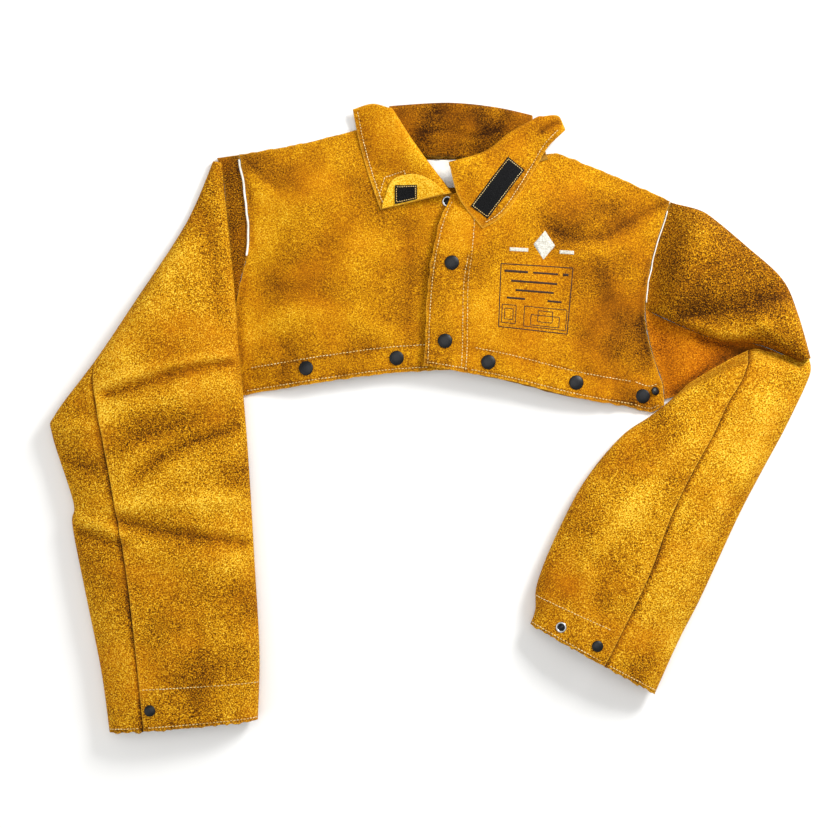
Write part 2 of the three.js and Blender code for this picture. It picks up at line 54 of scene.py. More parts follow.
# ---- Driving sizes, in millimetres and degrees ----
LEATHER = 1.6
GAP = 0.4  # between two layers
EDGE_LIFT = LEATHER + GAP
ON_BACK = LEATHER + 0.25  # the lowest that anything lies on the back panel
CHEST_RISE = 15
ARCH_RUN = 90  # over which the chest rises from its sides and from the shoulders
BODY_HALF = 246
LEFT_LIFT = 7.8  # of the left front, where it lies over the right one
FACING_LIFT = 5.8
FACING_DROP = 2.4
COLLAR_ROLL = 11
LEAF_WIDTH = 66
ROLL_RADIUS = 4.2
ROLL_TURN = 165
SLEEVE_HEIGHT = 42
WRAP_ANGLE = 42  # how far a sleeve's top panel is carried round under its inner edge
HEM_BAND = 32
CUFF_BAND = 46
SLEEVE_RUN = {"right": 670, "left": 420}  # length of the sleeve that ends in each cuff
LABEL_SIZE = (76, 33)
HOOK_SIZE = (26, 20)
LOOP_SIZE = (73, 25)
TAPE_THICKNESS = 0.9
LABEL_THICKNESS = 0.6
PIPING_LEVEL = 5.1
LEAST_SHARE = 0.31  # the smallest area a flat sheet is given, as a share of length x width
RIM_LOSS = 0.28  # share of its thickness that leather loses at its cut edge
ROW_INSET = 4.5  # from an edge to its row of stitches
GRID = 3.0  # size of a cell in the leather panels
STITCH = 4.0  # from one stitch to the next

# ---- Camera, floor and light ----
VIEW_CENTRE = (-0.0425, -0.1581)
VIEW_WIDTH = 0.977
VIEW_LEVEL = 0.02
LENS = 85
SENSOR = 36
LIGHTS = {  # place, size, watts
    "key": ((1.25, 1.05, 1.25), 0.7, 46),
    "overhead": ((-0.2, 0.1, 2.9), 2.2, 34),
    "fill": ((-1.5, -0.9, 1.2), 1.4, 7),
}
SKY = (1, 0.99, 0.97, 1)
SKY_STRENGTH = 0.42
FLOOR_COLOUR = (0.9, 0.9, 0.89, 1)
FLOOR_HALF = 14
FLOOR_LEVEL = -0.0004


def add_camera():
    data = bpy.data.cameras.new("camera")
    data.lens = LENS
    data.sensor_width = SENSOR
    camera = bpy.data.objects.new("camera", data)
    camera.location = (*VIEW_CENTRE, VIEW_LEVEL + VIEW_WIDTH * LENS / SENSOR)
    bpy.context.scene.collection.objects.link(camera)
    bpy.context.scene.camera = camera


def add_lights():
    for name, (place, size, watts) in LIGHTS.items():
        data = bpy.data.lights.new(name, "AREA")
        data.size = size
        data.energy = watts
        light = bpy.data.objects.new(name, data)
        light.location = place
        light.rotation_euler = (Vector((*VIEW_CENTRE, 0)) - Vector(place)).to_track_quat("-Z", "Y").to_euler()
        bpy.context.scene.collection.objects.link(light)
    world = bpy.data.worlds.new("studio")
    world.use_nodes = True
    background = world.node_tree.nodes["Background"]
    background.inputs["Color"].default_value = SKY
    background.inputs["Strength"].default_value = SKY_STRENGTH
    bpy.context.scene.world = world
    bpy.context.scene.view_settings.view_transform = "Standard"


def add_floor():
    floor = bpy.data.meshes.new("floor")
    signs = [(-1, -1), (1, -1), (1, 1), (-1, 1)]
    floor.from_pydata([(FLOOR_HALF * x, FLOOR_HALF * y, FLOOR_LEVEL) for x, y in signs], [], [(0, 1, 2, 3)])
    piece = bpy.data.objects.new("floor", floor)
    bpy.context.scene.collection.objects.link(piece)
    paint, _, shader = new_material("floor_paint", 0.8)
    shader.inputs["Base Color"].default_value = FLOOR_COLOUR
    floor.materials.append(paint)


# ---- Materials ----
def linear(code):
    """A colour written as rrggbb, as the shader's linear numbers."""
    parts = [int(code[k:k + 2], 16) / 255 for k in (0, 2, 4)]
    return (*[c / 12.92 if c <= 0.04045 else ((c + 0.055) / 1.055) ** 2.4 for c in parts], 1)


def new_material(name, roughness, metallic=0.0):
    made = bpy.data.materials.new(name)
    made.use_nodes = True
    shader = made.node_tree.nodes["Principled BSDF"]
    shader.inputs["Roughness"].default_value = roughness
    shader.inputs["Metallic"].default_value = metallic
    return made, made.node_tree, shader


def attribute(tree, name, output="Fac"):
    node = tree.nodes.new("ShaderNodeAttribute")
    node.attribute_name = name
    return node.outputs[output]


def noise(tree, place, scale, detail=3.0, roughness=0.6):
    node = tree.nodes.new("ShaderNodeTexNoise")
    node.inputs["Scale"].default_value = scale
    node.inputs["Detail"].default_value = detail
    node.inputs["Roughness"].default_value = roughness
    tree.links.new(place, node.inputs["Vector"])
    return node.outputs["Fac"]


def weighted(tree, source, weight, total):
    """total + source x weight; total is a number or a socket."""
    node = tree.nodes.new("ShaderNodeMath")
    node.operation = "MULTIPLY_ADD"
    tree.links.new(source, node.inputs[0])
    node.inputs[1].default_value = weight
    if isinstance(total, (int, float)):
        node.inputs[2].default_value = total
    else:
        tree.links.new(total, node.inputs[2])
    return node.outputs[0]


def ramp(tree, value, stops):
    node = tree.nodes.new("ShaderNodeValToRGB")
    elements = node.color_ramp.elements
    while len(elements) < len(stops):
        elements.new(0.5)
    for element, (at, code) in zip(elements, stops):
        element.position = at
        element.color = linear(code)
    tree.links.new(value, node.inputs["Fac"])
    return node.outputs["Color"]


def mixed(tree, amount, first, code):
    """first, painted over with a colour by amount."""
    node = tree.nodes.new("ShaderNodeMix")
    node.data_type = "RGBA"
    tree.links.new(amount, node.inputs["Factor"])
    tree.links.new(first, node.inputs[6])
    node.inputs[7].default_value = linear(code)
    return node.outputs[2]


def bumped(tree, shader, height, strength, distance):
    node = tree.nodes.new("ShaderNodeBump")
    node.inputs["Strength"].default_value = strength
    node.inputs["Distance"].default_value = distance
    tree.links.new(height, node.inputs["Height"])
    tree.links.new(node.outputs["Normal"], shader.inputs["Normal"])

def make_suede(name, stops, edge_colour, sheen, nap_weight):
    """Split leather: mottled dye, a nap of coarse fibres, and a paler cut edge. Its per-vertex tone carries
    random tone and also painted light and shade: lighter ridges, darker creases, seams and shadowed panels.
    """
    made, tree, shader = new_material(name, 0.92)
    place = attribute(tree, "rest", "Vector")
    broad = noise(tree, place, 9, 2.0, 0.5)
    patches = noise(tree, place, 40, 4.0, 0.66)
    nap = noise(tree, place, 620, 2.0, 0.65)
    grain = noise(tree, place, 1500, 2.0, 0.7)
    weights = [(broad, 0.24), (patches, 0.3), (nap, nap_weight), (grain, 0.6 * nap_weight)]
    total = 0.5 - sum(weight for _, weight in weights) / 2
    # The per-vertex tone brings in painted light and shade (lighter ridges, darker creases, seams and shadowed
    # panels) along with the random tone.
    total = weighted(tree, attribute(tree, "tone_and_shading"), 0.5, total)
    for source, weight in weights:
        total = weighted(tree, source, weight, total)
    dyed = ramp(tree, total, stops)
    warmth = weighted(tree, noise(tree, place, 15, 3.0, 0.5), 1.6, -0.75)
    warmed = mixed(tree, warmth, dyed, "c87402")
    painted = mixed(tree, attribute(tree, "edge"), warmed, edge_colour)
    tree.links.new(painted, shader.inputs["Base Color"])
    fibres = weighted(tree, grain, 0.6, weighted(tree, nap, 1.0, 0.0))
    bumped(tree, shader, fibres, 0.6, 0.0011)
    shader.inputs["Specular IOR Level"].default_value = 0.12
    shader.inputs["Sheen Weight"].default_value = sheen
    shader.inputs["Sheen Roughness"].default_value = 0.45
    shader.inputs["Sheen Tint"].default_value = linear("ffb52e")
    return made


def make_mottled(name, roughness, stops, mottle, bump=None, grain=None, wear=None, sheen=None, specular=None,
                 metallic=0.0, on_object=False):
    """A paint whose colour runs through its stops with a noise, mottle, given as (scale, detail, roughness).

    bump is (strength, distance), on the noise called grain or else on mottle. wear is how far mottle changes the
    roughness, and its base.
    """
    made, tree, shader = new_material(name, roughness, metallic)
    if on_object:
        place = tree.nodes.new("ShaderNodeTexCoord").outputs["Object"]
    else:
        place = attribute(tree, "rest", "Vector")
    level = noise(tree, place, *mottle)
    tree.links.new(ramp(tree, level, stops), shader.inputs["Base Color"])
    if bump:
        bumped(tree, shader, noise(tree, place, *grain) if grain else level, *bump)
    if wear:
        tree.links.new(weighted(tree, level, *wear), shader.inputs["Roughness"])
    if sheen:
        shader.inputs["Sheen Weight"].default_value = sheen
    if specular:
        shader.inputs["Specular IOR Level"].default_value = specular
    return made


def make_label_cloth():
    """White woven cloth: a weft of fine waves under an uneven warp."""
    made, tree, shader = new_material("woven_label", 0.75)
    place = attribute(tree, "rest", "Vector")
    weft = tree.nodes.new("ShaderNodeTexWave")
    weft.bands_direction = "Y"
    weft.inputs["Scale"].default_value = 420
    weft.inputs["Distortion"].default_value = 0.6
    tree.links.new(place, weft.inputs["Vector"])
    warp = noise(tree, place, 800, 2.0)
    tree.links.new(ramp(tree, noise(tree, place, 50, 3.0), [(0.3, "e2ded2"), (0.7, "fbfaf6")]),
                   shader.inputs["Base Color"])
    bumped(tree, shader, weighted(tree, warp, 0.5, weft.outputs["Fac"]), 0.4, 0.0003)
    return made


SUEDE_STOPS = [(0.0, "2b1200"), (0.2, "673a00"), (0.4, "9c6002"), (0.55, "be7d04"), (0.75, "e6aa0c"),
               (1.0, "ffdc50")]
INSIDE_STOPS = [(0.0, "1f0d00"), (0.25, "512d03"), (0.5, "8a5a0c"), (0.75, "b07a17"), (1.0, "dcaa44")]
WARM_STOPS = [(0.0, "2b1000"), (0.2, "6a3300"), (0.4, "a05600"), (0.55, "c37004"), (0.75, "e2930a"),
              (1.0, "f8c040")]
SUEDE = make_suede("suede", SUEDE_STOPS, "e9b13a", 0.07, 1.4)
COARSE = make_suede("suede_coarse", SUEDE_STOPS, "e9b13a", 0.07, 2.2)
WARM = make_suede("suede_warm", WARM_STOPS, "dda036", 0.07, 1.4)
INSIDE = make_suede("suede_inside", INSIDE_STOPS, "c9963a", 0.1, 1.2)
THREAD = make_mottled("thread", 0.6, [(0.3, "c9993a"), (0.55, "e8cd86"), (0.75, "fbecb8")], (60, 2.0),
                      (0.5, 0.0003), grain=(1500, 1.0), sheen=0.2)
TAPE = make_mottled("hook_and_loop", 0.85, [(0.35, "020203"), (0.6, "08090b"), (0.85, "1d1e22")],
                    (1100, 3.0, 0.8), (0.9, 0.0008), sheen=0.08, specular=0.2)
CAP = make_mottled("snap_cap", 0.4, [(0.3, "050608"), (0.7, "101419")], (420, 3.0), (0.12, 0.0003),
                   wear=(0.25, 0.28), specular=0.3)
METAL = make_mottled("snap_metal", 0.3, [(0.3, "9a9da1"), (0.7, "e2e4e6")], (700, 3.0), (0.15, 0.0002),
                     wear=(0.3, 0.16), metallic=1.0, on_object=True)
PIPING = make_mottled("piping", 0.5, [(0.3, "c9c4b4"), (0.55, "f0efe9"), (0.8, "ffffff")], (70, 3.0),
                      (0.4, 0.0003), grain=(900, 2.0))
LABEL = make_label_cloth()
DARK_INK = make_mottled("dark_ink", 0.8, [(0.36, "200c02"), (0.64, "3d1c06")], (500, 3.0, 0.8))
WHITE_INK = make_mottled("white_ink", 0.8, [(0.36, "a8a496"), (0.64, "e6e3d8")], (500, 3.0, 0.8))


# ---- Curves ----
def smooth(low, high, value):
    t = np.clip((value - low) / (high - low), 0, 1)
    return t * t * (3 - 2 * t)


def through(points, divisions=400):
    """An even-paced Catmull-Rom curve through a few points: a function of 0..1 that returns (n, 2) places."""
    known = np.array(points, float)
    last = len(known) - 1
    p = np.linspace(0, last, divisions + 1)
    k = np.minimum(p.astype(int), last - 1)
    w = (p - k)[:, None]
    before, here = known[np.maximum(k - 1, 0)], known[k]
    there, after = known[k + 1], known[np.minimum(k + 2, last)]
    out, into = (there - before) / 2, (after - here) / 2
    line = ((2 * here - 2 * there + out + into) * w ** 3
            + (-3 * here + 3 * there - 2 * out - into) * w ** 2 + out * w + here)
    paced = np.concatenate([[0], np.cumsum(np.hypot(*np.diff(line, axis=0).T))])
    paced /= paced[-1]

    def curve(t):
        t = np.clip(np.asarray(t, float), 0, 1)
        return np.stack([np.interp(t, paced, line[:, 0]), np.interp(t, paced, line[:, 1])], -1)

    return curve


def joined(first, second, share=0.5):
    """Two curves one after the other, the first over the given share of 0..1."""
    def curve(t):
        t = np.asarray(t, float)
        return np.where((t < share)[..., None], first(t / share), second((t - share) / (1 - share)))

    return curve


def moved(curve, x, y):
    return lambda t: curve(t) + np.array([x, y])


def stretch(curve, start, end):
    return lambda t: curve(start + (end - start) * np.asarray(t, float))


def length_of(points):
    return float(np.linalg.norm(np.diff(points, axis=0), axis=-1).sum())


def nearest(line, x, y):
    """Distance of each place from a line of points, and the length along the line to there."""
    best = np.full(x.shape, 1e9)
    along = np.zeros(x.shape)
    start = 0.0
    for a, b in zip(line[:-1], line[1:]):
        step = b - a
        length = max(float(np.hypot(*step)), 1e-9)
        t = np.clip(((x - a[0]) * step[0] + (y - a[1]) * step[1]) / length ** 2, 0, 1)
        distance = np.hypot(x - a[0] - t * step[0], y - a[1] - t * step[1])
        along = np.where(distance < best, start + t * length, along)
        best = np.minimum(distance, best)
        start += length
    return best, along


def ripple(x, y, size, seed):
    """A smooth random field of about -1..1 with features of the given size."""
    dice = np.random.default_rng(seed)
    total = np.zeros(np.shape(x))
    waves = 14
    for _ in range(waves):
        turn, phase = dice.uniform(0, 2 * math.pi, 2)
        pace = 2 * math.pi / (size * dice.uniform(1.2, 3.0))
        total = total + np.sin(pace * (x * math.cos(turn) + y * math.sin(turn)) + phase)
    return total / math.sqrt(waves)


# ---- Where the caps of the snaps sit on the body ----
RIGHT_CAPS = {"right_hem_outer_cap": (-170, -104), "right_hem_inner_cap": (-63, -92)}
LEFT_CAPS = {"placket_upper_cap": (2, 20), "placket_lower_cap": (-6, -72), "left_hem_inner_cap": (45, -97),
             "left_hem_middle_cap": (149, -121)}
SIDE_CAP = (229, -137)
SMALL_CAP = (244, -131)


def dimples(places):
    """The hollows round caps, as very short folds, with painted shade in them."""
    return [([(x, y), (x + 1, y)], -0.9, -0.22, 13) for x, y in places]


# ---- Folds: the line, its relief, its painted light and shade (lighter on a ridge, darker in a crease), and its half width ----
RIGHT_BODY_FOLDS = [
    ([(-244, 146), (-225, 130), (-206, 112)], -2.6, -0.5, 9),
    ([(-214, 140), (-190, 122), (-176, 110)], -1.5, -0.34, 24),
    ([(-231, 118), (-206, 98), (-184, 92), (-160, 116), (-132, 140)], 2.4, 0.34, 15),
    ([(-232, 84), (-222, 40)], 1.2, 0.2, 16),
    ([(-150, 92), (-140, 40), (-152, -10)], -1.6, -0.22, 34),
    ([(-96, 88), (-78, 30)], -1.2, -0.16, 26),
    ([(-113, 80), (-118, 20), (-112, -30)], 1.2, 0.1, 16),
    ([(-212, 0), (-196, -10), (-176, -10)], -1.6, -0.3, 13),
    ([(-240, -66), (-206, -46), (-165, -36), (-118, -44), (-74, -64)], 2.6, 0.36, 13),
    ([(-228, -40), (-196, -24), (-150, -20)], -1.0, -0.14, 14),
    ([(-196, -76), (-188, -92), (-200, -110)], -2.2, -0.42, 12),
    ([(-232, -94), (-212, -106)], 1.2, 0.18, 10),
    ([(-120, -78), (-84, -82)], -0.8, -0.14, 16),
    ([(-52, 70), (-46, 10), (-50, -60)], -1.2, -0.3, 14),
    ([(-72, 74), (-40, 66)], -1.2, -0.3, 16),
    # Narrow dark lines beside the armhole seam: painted shade along it.
    ([(-244, 130), (-237, 92), (-235, 41)], -0.8, -0.5, 4),
    ([(-243, 0), (-250, -40), (-247, -90)], -0.5, -0.5, 5),
    *dimples(RIGHT_CAPS.values()),
]
LEFT_BODY_FOLDS = [
    ([(118, 62), (144, 50), (186, 54), (217, 74), (256, 93)], -3.4, -0.56, 11),
    ([(120, 92), (154, 80), (196, 88)], 1.0, -0.22, 26),
    ([(150, 118), (196, 108)], 2.0, 0.16, 12),
    ([(142, 34), (186, 36), (222, 52), (246, 70)], 2.8, 0.42, 14),
    ([(222, 26), (238, -6)], 1.4, 0.12, 14),
    ([(186, -22), (176, -44), (160, -66)], -2.0, -0.4, 12),
    ([(184, -66), (206, -74), (222, -66)], 1.8, 0.26, 14),
    ([(212, -30), (224, -60), (232, -104)], -1.4, -0.24, 10),
    ([(96, -78), (130, -88), (160, -92)], 1.2, 0.18, 12),
    ([(160, -104), (178, -116)], -1.4, -0.34, 11),
    ([(196, -116), (206, -140)], -1.4, -0.36, 12),
    ([(12, 74), (2, 40)], 1.2, 0.26, 14),
    ([(30, -20), (34, -66)], 0.9, 0.14, 14),
    ([(70, 6), (110, -2), (120, -40)], 0.6, 0.12, 22),
    # No relief: a broad band of painted shade over the left front.
    ([(176, 20), (196, -40), (190, -84)], 0.0, -0.9, 56),
    # A narrow dark line beside the armhole seam: painted shade along it.
    ([(236, 20), (228, -40), (240, -100)], -0.6, -0.5, 6),
    *dimples([*LEFT_CAPS.values(), SIDE_CAP]),
]
RIGHT_SLEEVE_FOLDS = [
    ([(-318, 40), (-352, -20), (-392, -80)], 2.4, 0.32, 16),
    ([(-300, 96), (-330, 46), (-372, -20)], -2.2, -0.34, 11),
    ([(-286, 76), (-276, 20), (-272, -40)], -2.4, -0.34, 13),
    ([(-410, -124), (-360, -108), (-306, -96), (-256, -90)], 5.0, 0.42, 8),
    ([(-404, -136), (-358, -122), (-313, -108), (-256, -98)], -7.5, -0.8, 6),
    ([(-404, -158), (-340, -142), (-262, -124)], 4.0, 0.46, 13),
    ([(-372, -188), (-320, -170), (-250, -158)], -3.0, -0.36, 13),
    ([(-384, -226), (-366, -204)], 2.6, 0.4, 12),
    ([(-366, -232), (-330, -204), (-295, -188), (-244, -172)], -5.2, -0.62, 9),
    ([(-352, -250), (-300, -222), (-244, -206)], 3.0, 0.26, 13),
    ([(-388, -266), (-330, -262), (-240, -256)], 4.6, 0.46, 11),
    ([(-388, -284), (-350, -292), (-317, -299), (-234, -312)], -6.0, -0.7, 8),
    ([(-376, -312), (-320, -326), (-240, -338)], 2.4, 0.24, 14),
    ([(-452, -268), (-436, -282), (-388, -298)], 3.6, 0.44, 8),
    ([(-440, -296), (-412, -304), (-382, -312)], -3.6, -0.6, 8),
    ([(-456, -212), (-420, -222)], -2.6, -0.56, 14),
    ([(-452, -178), (-414, -172)], 2.4, 0.34, 11),
    ([(-440, -140), (-424, -160)], -2.0, -0.36, 10),
    ([(-350, -360), (-300, -372), (-250, -366)], -1.8, -0.2, 18),
    ([(-330, -420), (-290, -436), (-246, -430)], 1.6, 0.16, 18),
    ([(-396, -380), (-384, -440)], 1.6, 0.18, 12),
    ([(-340, -470), (-300, -482)], -1.6, -0.2, 15),
    # No relief: a broad band of painted shade over the lower sleeve.
    ([(-300, -390), (-290, -450), (-300, -530)], 0.0, -0.36, 60),
]
LEFT_UPPER_FOLDS = [
    ([(270, -44), (318, -38), (352, -28), (392, -18)], -6.5, -0.66, 15),
    ([(252, -40), (296, -60), (336, -68), (366, -52)], 3.4, 0.42, 9),
    ([(366, -52), (392, -70)], 2.0, 0.34, 9),
    ([(262, 86), (300, 50), (320, 18)], 1.8, 0.16, 16),
    ([(276, 60), (262, 10)], -1.6, -0.26, 12),
    ([(330, 30), (360, 0)], -1.4, -0.2, 20),
    ([(402, -36), (416, -74)], 2.2, 0.42, 10),
]
LEFT_FOREARM_FOLDS = [
    ([(279, -187), (232, -242), (173, -313)], 3.2, 0.52, 16),
    ([(372, -150), (350, -208), (318, -262)], 2.8, 0.46, 16),
    ([(398, -128), (412, -150)], -2.4, -0.34, 10),
    ([(338, -262), (322, -296), (306, -330)], -2.0, -0.36, 12),
    ([(150, -256), (128, -300), (112, -352)], -2.2, -0.44, 14),
    ([(250, -168), (214, -200)], -1.8, -0.3, 18),
    ([(146, -352), (138, -370)], -2.4, -0.46, 12),
    ([(190, -336), (180, -360), (176, -384)], -1.8, -0.3, 12),
    ([(160, -330), (158, -362)], 1.6, 0.22, 10),
    ([(262, -330), (230, -400)], 1.4, 0.16, 16),
    ([(240, -440), (222, -468)], -1.6, -0.32, 14),
    ([(330, -120), (310, -160)], 1.8, 0.2, 14),
]
GUSSET_FOLDS = [
    ([(262, -44), (284, -70), (280, -104)], 2.2, 0.24, 13),
    # The last three lines are painted shade with little or no relief: beside the body, in the pocket under the
    # forearm, and under the lip of the upper sleeve.
    ([(252, -60), (264, -116)], 0.0, -0.2, 8),
    ([(268, -132), (300, -108), (336, -88), (372, -80)], -1.0, -1.0, 9),
    ([(252, -44), (290, -66), (330, -78), (380, -90)], 0.0, -0.5, 5),
]

def folded(folds, x, y):
    """The relief and the painted light and shade that a list of folds gives each place: a soft swell with a
    narrow crease in it, painted lighter on ridges and darker in creases.
    """
    relief, tone_and_shading = np.zeros(x.shape), np.zeros(x.shape)
    for points, height, shade, width in folds:
        distance, _ = nearest(through(points, 60)(np.linspace(0, 1, 14)), x, y)
        swell = np.exp(-(distance / width) ** 2)
        crease = np.exp(-(distance / (0.18 * width + 1)) ** 2)
        relief += 0.85 * height * swell + 0.1 * min(height, 0) * crease
        tone_and_shading += shade * (0.6 * swell if shade > 0 else 0.5 * swell + 0.28 * crease)
    return relief, tone_and_shading


def puckered(lines, x, y, seed):
    """A groove under each row of stitches, and the small pulls beside it: painted shade in the groove, and
    painted light and shade on the pulls.
    """
    relief, tone_and_shading = np.zeros(x.shape), np.zeros(x.shape)
    for k, line in enumerate(lines):
        distance, along = nearest(line, x, y)
        pull = np.sin(along / 2.1 + 3 * ripple(along, along, 30, seed + k))
        relief += -0.55 * np.exp(-(distance / 2.0) ** 2) + 0.3 * pull * np.exp(-(distance / 8) ** 2)
        tone_and_shading += -0.32 * np.exp(-(distance / 1.8) ** 2) + 0.12 * pull * np.exp(-(distance / 9) ** 2)
    return relief, tone_and_shading


# ---- Body outlines ----
SHOULDER_TIP_R = (-250, 150)
SHOULDER_TIP_L = (262, 95)
NECK_R = (-108, 180)
NECK_L = (126, 152)
HEM_SIDE_R = (-247, -136)
HEM_SIDE_L = (255, -148)
FOLD_FOOT = (219, -151)
CENTRE_HEM = (18, -105)
PLACKET_FOOT = (-31, -101)

armhole_r = through([SHOULDER_TIP_R, (-241, 92), (-239, 41), (-254, -24), (-252, -77), HEM_SIDE_R])
armhole_l = through([SHOULDER_TIP_L, (241, 28), (232, -35), (240, -84), (252, -120), HEM_SIDE_L])
shoulder_r = through([SHOULDER_TIP_R, (-177, 163), NECK_R])
neck_r = through([NECK_R, (-62, 138), (-25, 112), (16, 99)])
centre_edge_r = through([(16, 99), (17, 0), CENTRE_HEM])
hem_r = through([HEM_SIDE_R, (-153, -121), (-70, -110), CENTRE_HEM])
placket_edge = through([(1, 100), (-15, 59), (-26, -6), PLACKET_FOOT])
hem_flap = through([PLACKET_FOOT, (60, -117), (150, -139), FOLD_FOOT])
neck_l = through([(1, 100), (35, 112), (78, 135), NECK_L])
shoulder_l = through([NECK_L, (190, 127), SHOULDER_TIP_L])
hem_side_l = through([FOLD_FOOT, (238, -156), HEM_SIDE_L])
back_hem = through([HEM_SIDE_L, (150, -139), (60, -117), (-30, -104), (-153, -120), HEM_SIDE_R])
back_neck = through([NECK_R, (-70, 158), (0, 150), (70, 148), NECK_L])


def shoulder_height(x):
    """Where the shoulder line lies, as y for each x: one slope on each side and the neck between them."""
    right = SHOULDER_TIP_R[1] + 0.22 * (x - SHOULDER_TIP_R[0])
    left = NECK_L[1] - 0.41 * (x - NECK_L[0])
    return right + (left - right) * smooth(-40, 60, x)


def chest(x, y):
    sides = np.minimum(smooth(0, ARCH_RUN, x + BODY_HALF), smooth(0, ARCH_RUN, BODY_HALF - x))
    return EDGE_LIFT + CHEST_RISE * sides * smooth(-8, ARCH_RUN, shoulder_height(x) - y)


def left_front(x, y):
    return chest(x, y) + LEFT_LIFT * (1 - smooth(48, 190, x))


def leaf_lift(roll, x, y):
    """A leaf is highest along its roll and comes down to the chest across its width."""
    start, end = roll(0.0), roll(1.0)
    along = (end - start) / np.hypot(*(end - start))
    distance = np.abs((x - start[0]) * along[1] - (y - start[1]) * along[0])
    return COLLAR_ROLL * (1 - smooth(0, LEAF_WIDTH, distance))


def four_sided(top, bottom, left, right):
    """A Coons patch: top and bottom run from left to right, left and right run down."""
    def plan(u, v):
        across = top(u) * (1 - v)[..., None] + bottom(u) * v[..., None]
        down = left(v) * (1 - u)[..., None] + right(v) * u[..., None]
        corners = (top(0.0) * ((1 - u) * (1 - v))[..., None] + top(1.0) * (u * (1 - v))[..., None]
                   + bottom(0.0) * ((1 - u) * v)[..., None] + bottom(1.0) * (u * v)[..., None])
        return across + down - corners

    return plan


# ---- Meshes ----
def spaced(length, pitch=GRID, rim=(0.5, 1.4)):
    """Stations of 0..1 for a panel of that length, closer together at its two rims."""
    inner = np.linspace(rim[1], length - rim[1], max(int(length / pitch), 4))
    return np.concatenate([[0, rim[0]], inner, [length - rim[0], length]]) / length


def new_piece(name, vertices, faces, paint, facts=None, flat_faces=()):
    """A mesh from millimetre vertices. facts are its per-vertex values, such as its tone, which carries painted
    light and shade, and its edge.
    """
    mesh = bpy.data.meshes.new(name)
    mesh.from_pydata((np.asarray(vertices) * MM).tolist(), [], faces)
    mesh.update()
    shading = np.ones(len(mesh.polygons), bool)
    shading[list(flat_faces)] = False
    mesh.polygons.foreach_set("use_smooth", shading)
    rest = mesh.attributes.new("rest", "FLOAT_VECTOR", "POINT")
    rest.data.foreach_set("vector", (np.asarray(vertices) * MM).astype(np.float32).ravel())
    for fact, values in (facts or {}).items():
        made = mesh.attributes.new(fact, "FLOAT", "POINT")
        made.data.foreach_set("value", np.asarray(values, np.float32).ravel())
    mesh.materials.append(paint)
    piece = bpy.data.objects.new(name, mesh)
    bpy.context.scene.collection.objects.link(piece)
    return piece


def attach(piece, body, nodes=()):
    """What a piece moves with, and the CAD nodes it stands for. body is a name, or a bend."""
    if callable(body):
        body(piece)
    else:
        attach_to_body(piece, body)
    if nodes:
        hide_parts(*nodes)


def bend():
    """For a piece that bends from one body to the next; here it only bakes the piece's transform into its mesh.
    """
    return lambda piece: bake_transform(piece)


def declare(surface):
    """Works out how large the flat leather was: the panel's own length, width and area. Nothing is done with
    them.
    """
    metres = surface * MM
    across = np.linalg.norm(np.diff(metres, axis=1), axis=-1).sum(axis=1).max()
    down = np.linalg.norm(np.diff(metres, axis=0), axis=-1).sum(axis=0).max()
    first = np.cross(metres[1:, :-1] - metres[:-1, :-1], metres[:-1, 1:] - metres[:-1, :-1])
    second = np.cross(metres[1:, :-1] - metres[1:, 1:], metres[:-1, 1:] - metres[1:, 1:])
    area = (np.linalg.norm(first, axis=-1) + np.linalg.norm(second, axis=-1)).sum() / 2
    area = min(max(area, LEAST_SHARE * across * down), across * down)


def grid_faces(rows, columns, start, turned):
    index = start + np.arange(rows * columns).reshape(rows, columns)
    a, b, c, d = index[:-1, :-1], index[:-1, 1:], index[1:, 1:], index[1:, :-1]
    quads = np.stack([a, d, c, b] if turned else [a, b, c, d], -1)
    return quads.reshape(-1, 4).tolist()


def shell_faces(rows, columns, start=0, upwards=True):
    """The faces of two grids of vertices, the second over the first, and of the rim between them."""
    layer = rows * columns
    index = start + np.arange(layer).reshape(rows, columns)
    loop = np.concatenate([index[0, :], index[1:, -1], index[-1, -2::-1], index[-2:0:-1, 0]])
    following = np.roll(loop, -1)
    rim = np.stack([loop, following, following + layer, loop + layer], -1)
    sides = grid_faces(rows, columns, start + layer, upwards) + grid_faces(rows, columns, start, not upwards)
    return sides, (rim[:, ::-1] if upwards else rim).tolist()


def ring_faces(rings, sides, start=0, turned=False):
    """The faces between rings of vertices, one after another."""
    faces = []
    for j in range(rings - 1):
        for k in range(sides):
            a, b = start + j * sides + k, start + j * sides + (k + 1) % sides
            faces.append((a, a + sides, b + sides, b) if turned else (a, b, b + sides, a + sides))
    return faces


def ring_ends(rings, sides, start=0, turned=False):
    """The flat ends of such rings."""
    first, last = (tuple(start + j * sides + k for k in range(sides)) for j in (0, rings - 1))
    return [first, last[::-1]] if turned else [first[::-1], last]


def signed_volume(vertices, faces):
    quads = np.array(faces)
    a, b, c, d = (vertices[quads[:, k]] for k in range(4))
    return float((np.einsum("ij,ij->i", a, np.cross(b, c)) + np.einsum("ij,ij->i", a, np.cross(c, d))).sum())


def closed_sheet(name, below, above, paint, tone_and_shading, edge):
    """A closed sheet between two surfaces on one grid, shaped (rows, columns, 3)."""
    rows, columns, _ = below.shape
    row, column = rows // 2, columns // 2
    middle = above[row, column]
    normal = np.cross(above[row + 1, column] - middle, above[row, column + 1] - middle)
    sides, rim = shell_faces(rows, columns, upwards=float(normal @ (middle - below[row, column])) > 0)
    faces = sides + rim
    vertices = np.concatenate([below.reshape(-1, 3), above.reshape(-1, 3)])
    facts = {"tone_and_shading": np.concatenate([tone_and_shading.ravel() - 0.2, tone_and_shading.ravel()]),
             "edge": np.concatenate([edge.ravel(), edge.ravel()])}
    piece = new_piece(name, vertices, faces, paint, facts, range(len(sides), len(faces)))
    if signed_volume(vertices, faces) < 0:
        piece.data.flip_normals()
    return piece


